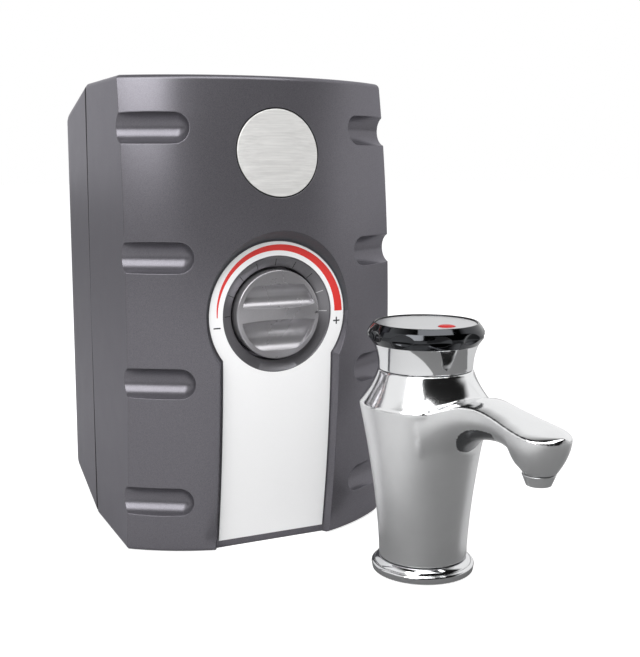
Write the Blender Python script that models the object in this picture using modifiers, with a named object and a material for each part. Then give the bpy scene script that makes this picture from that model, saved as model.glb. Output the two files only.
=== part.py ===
"""Instant hot water dispenser: a tank unit with a temperature dial, and a deck faucet with a swept spout.

Metres, +Z up. The origin is on the underside of the tank unit, below its middle. The tank's bowed front
faces -Y, and the faucet stands in front of it. Run with blender --background --python part.py, or from
Blender's text editor.
"""

import math

import bmesh
import bpy
from mathutils import Matrix, Vector

# Clearances and mesh fineness
GAP = 0.0003
OVERRUN = 0.003
WELD = 0.0000005
TURN_WELD = 0.00001
EDGE_ANGLE = math.radians(35)
STEPS_LARGE = 28
STEPS_HIDDEN = 16
STEPS_SMALL = 12
STEPS_HOLE = 8

# Housing of the tank unit
TANK_HEIGHT = 0.290
TANK_WIDTH = 0.177
TOP_TAPER = 0.0015
SEAM_Y = 0.010
SIDE_DEPTH = 0.075
PLAN_SAGITTA = 0.032
HEIGHT_BOW = 0.014
SIDE_STRIP = 0.009
REAR_DEPTH = 0.077
REAR_DRAFT = 0.0135
REAR_SIDE_DRAFT = 0.002
REAR_EDGE_RADIUS = 0.012
CORNER_RADIUS = 0.003
WALL = 0.0025
PLAN_RADIUS = ((TANK_WIDTH / 2) ** 2 + PLAN_SAGITTA**2) / (2 * PLAN_SAGITTA)
BACK_Y = SEAM_Y + REAR_DEPTH

# Side troughs of the front shell
TROUGH_COUNT = 4
TROUGH_RADIUS = 0.0094
TROUGH_DEPTH = 0.008
TROUGH_LENGTH = 0.042
TROUGH_FOOT_MARGIN = 0.0336
TROUGH_HEAD_MARGIN = 0.0305

# Dial, its well and the keyhole-shaped recess with the label
DIAL_LIFT = 0.003
POCKET_DEPTH = 0.011
POCKET_FLARE = 0.006
LABEL_RADIUS = 0.0444
LABEL_HALF_WIDTH = 0.0358
LABEL_THICKNESS = 0.0005
LABEL_FOOT_Z = 0.005
POCKET_MARGIN = 0.0008
RING_RADIUS = 0.0355
RING_DISH = 0.0035
RING_STEP = 0.0006
WELL_RADIUS = 0.0291
WELL_DEPTH = 0.013
DIAL_RADIUS = 0.02725
DIAL_PROUD = 0.0020
DIAL_CROWN = 0.0030
DIAL_EDGE = 0.0012
DIAL_FACE_SHARES = (0, 0.35, 0.7)
DIAL_FLOOR_GAP = 0.0015
DIAL_SKIN = 0.0025
DIAL_HOLLOW = 0.0045
DIAL_HUB_RADIUS = 0.006
UPPER_SCOOP_RADIUS = 0.0080
UPPER_SCOOP_DEPTH = 0.0055
LOWER_SCOOP_RADIUS = 0.0112
LOWER_SCOOP_DEPTH = 0.0065
GRIP_TOP = 0.0042
GRIP_FOOT = 0.0026
DIAL_RIM = 0.0030
POINTER_WIDTH = 0.0012
POINTER_LENGTH = 0.0032
SPINDLE_RADIUS = 0.003
SPINDLE_GRIP = 0.007
SPINDLE_REACH = 0.003

# Badge
BADGE_DROP = 0.045
BADGE_RADIUS = 0.02575
BADGE_THICKNESS = 0.0010
BADGE_PROUD = 0.0002
BADGE_GROOVE = 0.0005

# Thermostat behind the dial
THERMOSTAT_RADIUS = 0.015
THERMOSTAT_DEPTH = 0.020
THERMOSTAT_STEP_RADIUS = 0.011
THERMOSTAT_STEP = 0.006
THERMOSTAT_CLEARANCE = 0.002
BRACKET_PLATE = 0.0012
BRACKET_HALF_WIDTH = 0.030
BRACKET_HALF_HEIGHT = 0.014

# Hot water vessel and what stands on it
VESSEL_Y = 0.008
VESSEL_WALL = 0.0012
VESSEL_FOOT_Z = 0.040
VESSEL_DOME = 0.014
NECK_RADIUS = 0.012
NECK_HEIGHT = 0.010
ELEMENT_HOLE_RADIUS = 0.0143
CHAMBER_INSET = 0.013
CHAMBER_HEADROOM = 0.040
CHAMBER_HEIGHT = 0.040
CHAMBER_LIFT = 0.005
CHAMBER_WALL = 0.002
FLANGE_RADIUS = 0.019
FLANGE_THICKNESS = 0.0037
PLUG_HEIGHT = 0.005
ELEMENT_TUBE_RADIUS = 0.0032
ELEMENT_HALF_SPREAD = 0.010
ELEMENT_HEADROOM = 0.050
FUSE_RADIUS = 0.008
FUSE_THICKNESS = 0.006
FUSE_DROP = 0.010
FUSE_CAP_SHARE = 0.6

# Foam round the vessel
FOAM_SIDE_WALL = 0.0155
FOAM_FRONT_WALL = 0.010
FOAM_REVEAL = 0.001

# Tube stubs on top
PORT_SPACING_SHARE = 0.58
PORT_RADIUS = 0.004
PORT_BORE_RADIUS = 0.0024
PORT_BARB = 0.0008
PORT_BARB_HEIGHT = 0.002
PORT_FOOT_RADIUS = 0.007
PORT_FOOT_HEIGHT = 0.002
PORT_PROUD = 0.0015

# Drain in the sloping underside of the rear shell
DRAIN_SETBACK_SHARE = 0.64
DRAIN_HEAD_RADIUS = 0.007
DRAIN_HEAD_HEIGHT = 0.003
DRAIN_SHANK_RADIUS = 0.004
DRAIN_SEAT_Z = 0.0082
DRAIN_PAD_RADIUS = 0.012
DRAIN_PAD_TOP_Z = 0.0135
DRAIN_RECESS_RADIUS = 0.0085
SEAL_THICKNESS = 0.0014

# Screws that join the shells
BOSS_INSET = 0.0095
BOSS_EDGE = 0.030
BOSS_RADIUS = 0.005
BOSS_REACH = 0.018
BOSS_RIB_HALF = 0.0012
SCREW_RADIUS = 0.0015
SCREW_LENGTH = 0.016
SCREW_HEAD_RADIUS = 0.0036
SCREW_HEAD_HEIGHT = 0.0024
SCREW_SEAT = 0.004
SCREW_TIP_SHARE = 0.6
HEAD_SIDE_SHARE = 0.55
HEAD_TOP_SHARE = 0.75
SLOT_SHARE = 0.25

# Hanger on the back
HANGER_DROP = 0.065
HANGER_HEIGHT = 0.046
HANGER_PLATE = 0.0015
HANGER_STAND = 0.006
HANGER_FACE_HALF = 0.038
HANGER_RISER = 0.004
HANGER_FOOT = 0.016
KEYHOLE_X = 0.026
KEYHOLE_RADIUS = 0.005
KEYHOLE_SLOT_RADIUS = 0.0025
KEYHOLE_RISE = 0.010
HANGER_SCREW_RADIUS = 0.0018
HANGER_SCREW_LENGTH = 0.0029
HANGER_HEAD_RADIUS = 0.004
HANGER_HEAD_HEIGHT = 0.0022

# Cord gland, left without its cord
GLAND_X = 0.046
GLAND_Z = 0.046
GLAND_RADIUS = 0.009
GLAND_NOSE_RADIUS = 0.0065
GLAND_SPIGOT_RADIUS = 0.006
GLAND_FLANGE = 0.002
GLAND_NOSE = 0.004
GLAND_DIMPLE_RADIUS = 0.0035
GLAND_DIMPLE = 0.0015

# Faucet, placed by its axis
FAUCET_X = 0.0645
FAUCET_Y = -0.1675
SPOUT_TURN = math.radians(13.5)
COLUMN_FOOT_Z = 0.0085
COLUMN_FOOT_RADIUS = 0.0260
SHOULDER_Z = 0.1012
SHOULDER_RADIUS = 0.0384
SHOULDER_EDGE = 0.0012
COLUMN_FLARE_POWER = 1.55
NECK_Z = 0.1212
COLLAR_RADIUS = 0.0277
CONE_SAG = 0.0010

# Spout, from its root inside the column to the round tip over the nozzle
SPOUT_REACH = 0.0855
TIP_RADIUS = 0.0167
SPOUT_RISE = 0.0070
WAIST_HALF_WIDTH = 0.0140
ROOT_ANGLE = math.radians(50)
ROOT_INSET = 0.0006
SPOUT_CROWN = 0.0022
SPOUT_EDGE = 0.0012
OUTLET_SEAM_Z = 0.0780
OUTLET_SEAM_RADIUS = 0.0100
SPOUT_WAIST_SHARE = 0.68
SPOUT_BLEND_SHARE = 0.80
SPOUT_TOP_SHARES = (
    (0.20, 0.00),
    (0.29, 0.18),
    (0.40, 0.66),
    (0.50, 0.98),
    (0.60, 0.98),
    (0.72, 0.68),
    (0.86, 0.24),
    (1.00, -0.14),
    (1.21, -0.55),
)
SPOUT_UNDER_SHARES = (
    (0.27, -1.90),
    (0.35, -1.35),
    (0.41, -0.98),
    (0.47, -0.74),
    (0.54, -0.60),
    (0.62, -0.54),
    (0.71, -0.53),
    (0.79, -0.58),
    (0.845, -0.68),
    (0.875, -0.82),
    (0.888, -1.00),
)
UNDER_SAMPLES = 2
SIDE_LEVELS = 5
SIDE_POWER = 2.2
SIDE_SHAPE = 0.6
EDGE_ROUND_SHARE = 0.3
BELL_POWER = 1.8

# Nozzle under the tip
NOZZLE_FOOT_Z = 0.0715
NOZZLE_FOOT_RADIUS = 0.0074
NOZZLE_BORE_RADIUS = 0.0050
NOZZLE_SPIGOT_RADIUS = 0.0068
NOZZLE_SPIGOT = 0.008
SCREEN_THICKNESS = 0.0010
SCREEN_SETBACK = 0.0012

# Foot of the faucet
FOOT_RADIUS = 0.0305
FOOT_RIM_Z = 0.0052
FOOT_CLEAR_Z = 0.0006
FOOT_BORE_RADIUS = 0.0138
FOOT_ROUND = 0.0016
COVE_POWER = 0.6
GASKET_OUTER_RADIUS = 0.0275
GASKET_INNER_RADIUS = 0.0180
GASKET_THICKNESS = 0.0018
SOCKET_RADIUS = 0.0130
SOCKET_BORE_RADIUS = 0.0088
SOCKET_HEIGHT = 0.036
SOCKET_LIFT = 0.0012

# Valve inside the column
VALVE_BORE_RADIUS = 0.0135
VALVE_FLOOR_Z = 0.062
CARTRIDGE_HEIGHT = 0.040
CARTRIDGE_NOSE_RADIUS = 0.009
CARTRIDGE_NOSE = 0.008
STEM_RADIUS = 0.004
STEM_DEPTH = 0.020
STEM_TOP_Z = 0.1380
NUT_HEIGHT = 0.008
NUT_BORE_RADIUS = 0.0068
O_RING_RADIUS = 0.0011
SPRING_WIRE_RADIUS = 0.0007
SPRING_RADIUS = 0.0105
SPRING_TURNS = 3
SPRING_PITCH = 0.0026
SPRING_POINTS = 6

# Knob
KNOB_FOOT_RADIUS = 0.0276
KNOB_RING_FOOT_Z = 0.1364
KNOB_RING_FOOT_RADIUS = 0.0308
KNOB_RING_Z = 0.1418
KNOB_RING_RADIUS = 0.0342
KNOB_TOP_Z = 0.1485
KNOB_TOP_RADIUS = 0.0304
KNOB_BULGE_SHARES = (0.62, 0.55)
SKIRT_FLARE_POWER = 2.2
KNOB_LIP = 0.0009
KNOB_WALL = 0.0024
KNOB_WEB_Z = 0.1396
KNOB_HUB_RADIUS = 0.0078
KNOB_HUB_FOOT_Z = 0.1232
CAP_THICKNESS = 0.0012
CAP_DISH = 0.0007
SCALLOP_COUNT = 10
SCALLOP_PHASE_SHARE = 0.125
SCALLOP_DEPTH = 0.0022
SCALLOP_SIZE = (0.0110, 0.0060, 0.0066)
SCALLOP_DROP = 0.0004
INDICATOR_RADIUS = 0.0049
INDICATOR_OFFSET = 0.0165
INDICATOR_DOME = 0.0007
KNOB_SCREW_RADIUS = 0.0020
KNOB_SCREW_LENGTH = 0.010
KNOB_SCREW_HEAD_RADIUS = 0.0038
KNOB_SCREW_HEAD = 0.0024
KNOB_SCREW_WELL = 0.0048

# Sizes that follow from the ones above
DIAL_Z = TANK_HEIGHT / 2 + DIAL_LIFT
BADGE_Z = TANK_HEIGHT - BADGE_DROP
HANGER_Z = TANK_HEIGHT - HANGER_DROP
TROUGH_PITCH = (TANK_HEIGHT - TROUGH_FOOT_MARGIN - TROUGH_HEAD_MARGIN) / (TROUGH_COUNT - 1)
BOSS_X = TANK_WIDTH / 2 - BOSS_INSET
BOSSES = [(x, z) for x in (-BOSS_X, BOSS_X) for z in (BOSS_EDGE, TANK_HEIGHT - BOSS_EDGE)]
PORT_TOP_Z = TANK_HEIGHT + PORT_PROUD
HANGER_FOOT_INNER = HANGER_FACE_HALF + HANGER_RISER
HANGER_FOOT_OUTER = HANGER_FOOT_INNER + HANGER_FOOT
HANGER_SCREWS = (-HANGER_FOOT_INNER - HANGER_FOOT / 2, HANGER_FOOT_INNER + HANGER_FOOT / 2)
CARTRIDGE_TOP_Z = VALVE_FLOOR_Z + GAP + CARTRIDGE_HEIGHT
NUT_FOOT_Z = CARTRIDGE_TOP_Z + GAP
NUT_TOP_Z = NUT_FOOT_Z + NUT_HEIGHT
STEM_FOOT_Z = CARTRIDGE_TOP_Z - STEM_DEPTH
KNOB_FOOT_Z = NECK_Z + GAP
CAP_FLOOR_Z = KNOB_TOP_Z - CAP_DISH - CAP_THICKNESS - GAP
KNOB_SCREW_SEAT_Z = CAP_FLOOR_Z - KNOB_SCREW_WELL

FRONT = Matrix.Rotation(math.radians(90), 4, "X")
BACK = Matrix.Rotation(math.radians(-90), 4, "X")


# Scene and helpers


def clear_scene():
    for old in list(bpy.data.objects):
        bpy.data.objects.remove(old, do_unlink=True)


def collection(name):
    group = bpy.data.collections.new(name)
    bpy.context.scene.collection.children.link(group)
    return group


clear_scene()
PARTS = collection("instant_hot_water_dispenser")
CUTTERS = collection("cutters")


def material(name, colour, roughness, metallic=0.0):
    """A plain Principled material."""
    look = bpy.data.materials.new(name)
    look.use_nodes = True
    shader = look.node_tree.nodes["Principled BSDF"]
    shader.inputs["Base Color"].default_value = (*colour, 1.0)
    shader.inputs["Roughness"].default_value = roughness
    shader.inputs["Metallic"].default_value = metallic
    return look


HOUSING = material("grey_housing", (0.115, 0.112, 0.125), 0.42, 0.35)
CHROME = material("chrome", (0.80, 0.80, 0.81), 0.08, 1.0)
LABEL_WHITE = material("label_white", (0.92, 0.92, 0.93), 0.45)
BRUSHED = material("brushed_steel", (0.62, 0.61, 0.60), 0.32, 1.0)
DIAL_GREY = material("dial_grey", (0.150, 0.148, 0.158), 0.40, 0.35)
STEEL = material("stainless_steel", (0.58, 0.58, 0.58), 0.28, 1.0)
BRASS = material("brass", (0.72, 0.52, 0.22), 0.30, 1.0)
FOAM = material("white_foam", (0.86, 0.86, 0.84), 0.90)
RUBBER = material("black_rubber", (0.03, 0.03, 0.03), 0.75)
BLACK_PLASTIC = material("black_plastic", (0.04, 0.04, 0.045), 0.50)
WHITE_PLASTIC = material("white_plastic", (0.82, 0.82, 0.80), 0.45)
INDICATOR_RED = material("indicator_red", (0.75, 0.035, 0.03), 0.30)
ZINC = material("zinc_steel", (0.55, 0.56, 0.58), 0.35, 1.0)


def place(name, mesh, look=None, frame=None, parent=None):
    """Makes an object of the mesh: a part where it has a look, and a hidden cutter where it has none."""
    obj = bpy.data.objects.new(name, mesh)
    obj.parent = parent
    if frame:
        obj.matrix_basis = frame
    if look:
        mesh.materials.append(look)
        PARTS.objects.link(obj)
    else:
        CUTTERS.objects.link(obj)
        obj.hide_render = True
        obj.display_type = "WIRE"
    return obj


def mesh_from(name, bm, smooth=True):
    """Welds, closes and orients a bmesh, and turns it into mesh data with crisp edges where it is steep."""
    bmesh.ops.remove_doubles(bm, verts=bm.verts, dist=WELD)
    bmesh.ops.recalc_face_normals(bm, faces=bm.faces)
    mesh = bpy.data.meshes.new(name)
    bm.to_mesh(mesh)
    bm.free()
    if smooth:
        mesh.shade_smooth()
    return mesh


def move(x=0.0, y=0.0, z=0.0):
    return Matrix.Translation((x, y, z))


def modifier_of(target, other, operation):
    boolean = target.modifiers.new(other.name, "BOOLEAN")
    boolean.operation = operation
    boolean.solver = "EXACT"
    boolean.object = other


def cut(target, *cutters):
    for cutter in cutters:
        modifier_of(target, cutter, "DIFFERENCE")


def join(target, *pieces):
    for piece in pieces:
        modifier_of(target, piece, "UNION")


def turned(name, profile, look=None, frame=None, parent=None, steps=STEPS_SMALL):
    """Turns (radius, height) points about Z: down the outer side and, on a ring, back up the inner one."""
    count = len(profile)
    edges = [(i, i + 1) for i in range(count - 1)]
    if profile[0][0] > 0 or profile[-1][0] > 0:
        edges.append((count - 1, 0))
    mesh = bpy.data.meshes.new(name)
    mesh.from_pydata([(radius, 0, height) for radius, height in profile], edges, [])
    obj = place(name, mesh, look, frame, parent)
    screw = obj.modifiers.new("turn", "SCREW")
    screw.steps = steps
    screw.render_steps = steps
    screw.use_merge_vertices = True
    screw.merge_threshold = TURN_WELD
    return obj


def rod(name, radius, low, high, look=None, frame=None, parent=None, steps=STEPS_SMALL):
    """A plain cylinder about Z between two heights."""
    bm = bmesh.new()
    middle = move(z=(low + high) / 2)
    bmesh.ops.create_cone(
        bm, cap_ends=True, segments=steps, radius1=radius, radius2=radius, depth=high - low, matrix=middle
    )
    return place(name, mesh_from(name, bm), look, frame, parent)


def block(name, low, high, look=None, frame=None, parent=None):
    """A box between two corners."""
    bm = bmesh.new()
    low, high = Vector(low), Vector(high)
    size = Matrix.Diagonal((*(high - low), 1))
    bmesh.ops.create_cube(bm, size=1, matrix=Matrix.Translation((low + high) / 2) @ size)
    return place(name, mesh_from(name, bm, smooth=False), look, frame, parent)


def loft(name, rings, look=None, frame=None, parent=None, smooth=True):
    """Skins a row of rings that have equally many points, and closes both ends."""
    bm = bmesh.new()
    loops = [[bm.verts.new(point) for point in ring] for ring in rings]
    for lower, upper in zip(loops, loops[1:]):
        for i in range(len(lower)):
            j = (i + 1) % len(lower)
            bm.faces.new((lower[i], lower[j], upper[j], upper[i]))
    bm.faces.new(loops[0])
    bm.faces.new(loops[-1])
    return place(name, mesh_from(name, bm, smooth), look, frame, parent)


def split_edges():
    """Keeps the edges of every part crisp where two faces meet steeply, and the round faces smooth."""
    for part in PARTS.objects:
        if part.type == "MESH":
            split = part.modifiers.new("crisp_edges", "EDGE_SPLIT")
            split.split_angle = EDGE_ANGLE
            split.use_edge_sharp = False


def spread(first, last, steps):
    """Evenly spaced values with both ends."""
    return [first + (last - first) * i / steps for i in range(steps + 1)]


def ellipse(radius, height, centre_z, first, last, steps):
    """(radius, height) points along an ellipse about the axis, by angle above the horizontal in degrees."""
    turns = [math.radians(angle) for angle in spread(first, last, steps)]
    return [(radius * math.cos(t), centre_z + height * math.sin(t)) for t in turns]


def smooth_curve(points, samples):
    """A Catmull-Rom curve through the points, with so many samples from each to the next."""
    padded = [Vector(p) for p in points]
    padded = [2 * padded[0] - padded[1], *padded, 2 * padded[-1] - padded[-2]]
    found = []
    for a, b, c, d in zip(padded, padded[1:], padded[2:], padded[3:]):
        for i in range(samples):
            t = i / samples
            square = 2 * a - 5 * b + 4 * c - d
            cube = 3 * b - a - 3 * c + d
            found.append((2 * b + (c - a) * t + square * t**2 + cube * t**3) / 2)
    found.append(padded[-2])
    return found


def height_at(curve, reach):
    """The height of a curve of (reach, height) points at a reach, between its nearest points."""
    for a, b in zip(curve, curve[1:]):
        if reach <= b[0]:
            share = (reach - a[0]) / (b[0] - a[0])
            return a[1] + (b[1] - a[1]) * share
    return curve[-1][1]


# Surfaces of the housing


def bow(z):
    return HEIGHT_BOW * (1 - (2 * z / TANK_HEIGHT - 1) ** 2)


def arc_centre_y(z):
    return SEAM_Y - SIDE_DEPTH - bow(z) - PLAN_SAGITTA + PLAN_RADIUS


def apex_y(z):
    return arc_centre_y(z) - PLAN_RADIUS


def front_y(x, z):
    return arc_centre_y(z) - math.sqrt(PLAN_RADIUS**2 - x**2)


def floor_y(z):
    """The floor of the label's recess: flat across, and bowed with the front."""
    return apex_y(z) + POCKET_DEPTH


def half_width(z):
    return TANK_WIDTH / 2 - TOP_TAPER * max(0.0, 2 * z / TANK_HEIGHT - 1)


def plan_ring(z, inset, back_y, arc_steps):
    """One level of the front shell: the bowed front from side to side, and the two ends at the back."""
    radius = PLAN_RADIUS - inset
    reach = half_width(z) - inset
    turn = math.asin(reach / radius)
    turns = spread(-turn, turn, arc_steps)
    ring = [(radius * math.sin(t), arc_centre_y(z) - radius * math.cos(t), z) for t in turns]
    strip_y = SEAM_Y - SIDE_DEPTH + SIDE_STRIP
    return [*ring, (reach, strip_y, z), (reach, back_y, z), (-reach, back_y, z), (-reach, strip_y, z)]


def keyhole(radius, half, foot_z, arc_steps=12, stem_steps=5):
    """The right half of a keyhole outline from its top down, as (x, z): a disc on a straight stem."""
    turn = math.pi - math.asin(half / radius)
    head = [(radius * math.sin(t), DIAL_Z + radius * math.cos(t)) for t in spread(0, turn, arc_steps)]
    stem = [(half, z) for z in spread(head[-1][1], foot_z, stem_steps)]
    return head + stem[1:]


def keyhole_solid(name, front, front_depth, back, back_depth, look=None):
    """A keyhole-shaped slab between two outlines, each at its own depth as a function of height."""
    bm = bmesh.new()
    rows = []
    for (front_x, front_z), (back_x, back_z) in zip(front, back):
        corners = (
            (-front_x, front_depth(front_z), front_z),
            (front_x, front_depth(front_z), front_z),
            (back_x, back_depth(back_z), back_z),
            (-back_x, back_depth(back_z), back_z),
        )
        rows.append([bm.verts.new(corner) for corner in corners])
    for upper, lower in zip(rows, rows[1:]):
        for i in range(4):
            j = (i + 1) % 4
            bm.faces.new((upper[i], upper[j], lower[j], lower[i]))
    bm.faces.new(rows[-1])
    return place(name, mesh_from(name, bm), look)


def pocket_solid(name, grow):
    """The recess round the label, with its flared walls, grown on every side by the given amount."""
    flare = POCKET_FLARE * (POCKET_DEPTH + OVERRUN) / POCKET_DEPTH
    back_radius = LABEL_RADIUS + POCKET_MARGIN + grow
    back_half = LABEL_HALF_WIDTH + POCKET_MARGIN + grow
    return keyhole_solid(
        name,
        keyhole(back_radius + flare, back_half + flare, -OVERRUN),
        lambda z: apex_y(z) - OVERRUN,
        keyhole(back_radius, back_half, -OVERRUN),
        lambda z: floor_y(z) + grow,
    )


def surface_disc(name, centre_z, radius, proud, sunk, look=None, rings=2, sides=28):
    """A round patch that follows the bowed front, from so far in front of its surface to so far behind it."""
    bm = bmesh.new()

    def layer(offset):
        """The middle point and the rings of one side of the patch."""
        middle = bm.verts.new((0, front_y(0, centre_z) + offset, centre_z))
        found = []
        for reach in spread(0, radius, rings)[1:]:
            points = []
            for turn in spread(0, 2 * math.pi, sides)[:-1]:
                x, z = reach * math.cos(turn), centre_z + reach * math.sin(turn)
                points.append(bm.verts.new((x, front_y(x, z) + offset, z)))
            found.append(points)
        return middle, found

    layers = [layer(-proud), layer(sunk)]
    for i in range(sides):
        j = (i + 1) % sides
        for middle, found in layers:
            bm.faces.new((middle, found[0][i], found[0][j]))
            for inner, outer in zip(found, found[1:]):
                bm.faces.new((inner[i], outer[i], outer[j], inner[j]))
        rims = [found[-1] for _, found in layers]
        bm.faces.new((rims[0][i], rims[1][i], rims[1][j], rims[0][j]))
    return place(name, mesh_from(name, bm), look)


def rear_ring(y, inset):
    """One section of the rear shell: a rectangle with round corners that shrinks towards the back."""
    share = (y - SEAM_Y) / REAR_DEPTH
    into = max(0.0, y + inset - (BACK_Y - REAR_EDGE_RADIUS))
    edge = REAR_EDGE_RADIUS - math.sqrt(max(0.0, REAR_EDGE_RADIUS**2 - into**2))
    shrink = inset + edge * (1 - inset / REAR_EDGE_RADIUS)
    low = REAR_DRAFT * share + shrink
    high = TANK_HEIGHT - REAR_DRAFT * share - shrink
    radius = CORNER_RADIUS + (REAR_EDGE_RADIUS - CORNER_RADIUS) * max(0.0, share)
    points = []
    for side_x, side_z, first in ((1, 1, 0), (-1, 1, 90), (-1, -1, 180), (1, -1, 270)):
        z = (high if side_z > 0 else low) - side_z * radius
        x = side_x * (half_width(z) - REAR_SIDE_DRAFT * share - shrink - radius)
        for angle in spread(first, first + 90, 4):
            turn = math.radians(angle)
            points.append((x + radius * math.cos(turn), y, z + radius * math.sin(turn)))
    return points


# Tank unit


def trough_frame(side, z):
    """Lays a bullet's axis along the bowed front, from the corner inwards, and lifts it to the depth."""
    corner = math.asin(half_width(z) / PLAN_RADIUS)
    inner = corner - TROUGH_LENGTH / PLAN_RADIUS
    middle = (corner + inner) / 2
    bulge = PLAN_RADIUS * (1 - math.cos((corner - inner) / 2))
    lift = TROUGH_RADIUS - TROUGH_DEPTH + bulge
    outward = Vector((side * math.sin(middle), -math.cos(middle), 0))
    corner_y = arc_centre_y(z) - PLAN_RADIUS * math.cos(corner)
    start = Vector((side * PLAN_RADIUS * math.sin(corner), corner_y, z))
    along = Vector((-side * math.cos(middle), -math.sin(middle), 0))
    across = along.cross(outward)
    axes = Matrix((outward, across, along)).transposed().to_4x4()
    return Matrix.Translation(start + outward * lift) @ axes


def troughs(name, grow, sides):
    """All side troughs as bullets with round inner ends, grown by the given amount."""
    radius = TROUGH_RADIUS + grow
    bm = bmesh.new()
    for side in (-1, 1):
        for row in range(TROUGH_COUNT):
            frame = trough_frame(side, TROUGH_FOOT_MARGIN + row * TROUGH_PITCH)
            reach = TROUGH_LENGTH - TROUGH_RADIUS
            levels = [(-TROUGH_LENGTH, radius)]
            for angle in spread(0, 75, 3):
                turn = math.radians(angle)
                levels.append((reach + radius * math.sin(turn), radius * math.cos(turn)))
            rings = []
            for along, size in levels:
                turns = spread(0, 2 * math.pi, sides)[:-1]
                points = [frame @ Vector((size * math.cos(t), size * math.sin(t), along)) for t in turns]
                rings.append([bm.verts.new(point) for point in points])
            tip = bm.verts.new(frame @ Vector((0, 0, reach + radius)))
            for lower, upper in zip(rings, rings[1:]):
                for i in range(sides):
                    j = (i + 1) % sides
                    bm.faces.new((lower[i], lower[j], upper[j], upper[i]))
            for i in range(sides):
                bm.faces.new((rings[-1][i], rings[-1][(i + 1) % sides], tip))
            bm.faces.new(rings[0])
    return place(name, mesh_from(name, bm))


def well_profile(grow):
    """The dished ring and the dial's well, measured from the recess floor at the dial and grown outwards."""
    ring = RING_RADIUS + grow
    well = WELL_RADIUS + grow
    return [
        (0, OVERRUN),
        (ring, OVERRUN),
        (ring, -RING_STEP - grow),
        (well, -RING_DISH - grow),
        (well, -WELL_DEPTH - grow),
        (0, -WELL_DEPTH - grow),
    ]


# Room inside the housing, and the sizes that follow from it
DIAL_FLOOR_Y = floor_y(DIAL_Z)
WELL_BACK_Y = DIAL_FLOOR_Y + WELL_DEPTH + WALL
THERMOSTAT_BACK_Y = WELL_BACK_Y + GAP + BRACKET_PLATE + GAP + THERMOSTAT_DEPTH
FOAM_HALF_WIDTH = BOSS_X - BOSS_RADIUS - 2 * GAP
SIDE_ROOM = FOAM_HALF_WIDTH - FOAM_SIDE_WALL
FRONT_ROOM = VESSEL_Y - THERMOSTAT_BACK_Y - THERMOSTAT_CLEARANCE - FOAM_FRONT_WALL
VESSEL_RADIUS = min(SIDE_ROOM, FRONT_ROOM)
CHAMBER_RADIUS = VESSEL_RADIUS - CHAMBER_INSET
CHAMBER_TOP_Z = TANK_HEIGHT - CHAMBER_HEADROOM
CHAMBER_FOOT_Z = CHAMBER_TOP_Z - CHAMBER_HEIGHT
VESSEL_TOP_Z = CHAMBER_FOOT_Z - CHAMBER_LIFT
VESSEL_LOW_Z = VESSEL_FOOT_Z + VESSEL_DOME
VESSEL_HIGH_Z = VESSEL_TOP_Z - VESSEL_DOME
FOAM_TOP_Z = CHAMBER_TOP_Z - FOAM_REVEAL
FUSE_Z = VESSEL_TOP_Z - FUSE_DROP
PORT_SPACING = PORT_SPACING_SHARE * CHAMBER_RADIUS
DRAIN_SETBACK = DRAIN_SETBACK_SHARE * VESSEL_RADIUS

DIAL_FRAME = move(y=DIAL_FLOOR_Y, z=DIAL_Z) @ FRONT
VESSEL_FRAME = move(y=VESSEL_Y)
DRAIN_FRAME = move(y=VESSEL_Y + DRAIN_SETBACK)


def front_shell():
    """The bowed front half of the housing, moulded in one wall thickness."""
    ease = [math.radians(angle) for angle in spread(0, 90, 3)]
    foot = [(CORNER_RADIUS * (1 - math.cos(t)), CORNER_RADIUS * (1 - math.sin(t))) for t in ease]
    body = [(z, 0.0) for z in spread(CORNER_RADIUS, TANK_HEIGHT - CORNER_RADIUS, 9)[1:-1]]
    head = [(TANK_HEIGHT - z, inset) for z, inset in reversed(foot)]
    seam = SEAM_Y - GAP / 2
    rings = [plan_ring(z, inset, seam, 18) for z, inset in foot + body + head]
    shell = loft("front_shell", rings, HOUSING)
    levels = spread(WALL, TANK_HEIGHT - WALL, 6)
    cavity = loft("front_cavity", [plan_ring(z, WALL, SEAM_Y + OVERRUN, 10) for z in levels])
    boss_frames = [move(x, SEAM_Y + 2 * OVERRUN, z) @ FRONT for x, z in BOSSES]
    boss_cores = [
        rod(f"front_boss_{i}", BOSS_RADIUS, 0, BOSS_REACH + 2 * OVERRUN, frame=frame, steps=STEPS_HOLE)
        for i, frame in enumerate(boss_frames)
    ]
    boss_ribs = [
        block(
            f"boss_rib_{i}",
            (min(x, 2 * x), SEAM_Y - BOSS_REACH, z - BOSS_RIB_HALF),
            (max(x, 2 * x), SEAM_Y + 2 * OVERRUN, z + BOSS_RIB_HALF),
        )
        for i, (x, z) in enumerate(BOSSES)
    ]
    cut(
        cavity,
        troughs("trough_cores", WALL, STEPS_HOLE),
        pocket_solid("pocket_core", WALL),
        turned("well_core", well_profile(WALL), frame=DIAL_FRAME, steps=STEPS_HIDDEN),
        *boss_cores,
        *boss_ribs,
    )
    pilot_depth = 2 * OVERRUN + SCREW_LENGTH - SCREW_SEAT
    pilots = [
        rod(f"pilot_{i}", SCREW_RADIUS + GAP, 0, pilot_depth, frame=frame, steps=STEPS_HOLE)
        for i, frame in enumerate(boss_frames)
    ]
    hole = SPINDLE_RADIUS + GAP
    through = -WELL_DEPTH - WALL - OVERRUN
    well = [*well_profile(0)[:-1], (hole, -WELL_DEPTH), (hole, through), (0, through)]
    badge_depth = BADGE_THICKNESS - BADGE_PROUD + GAP
    cut(
        shell,
        troughs("trough_cuts", 0, STEPS_SMALL),
        pocket_solid("pocket_cut", 0),
        turned("well_cut", well, frame=DIAL_FRAME, steps=STEPS_LARGE),
        surface_disc("badge_recess", BADGE_Z, BADGE_RADIUS + BADGE_GROOVE, OVERRUN, badge_depth),
        *pilots,
        cavity,
    )


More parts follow.
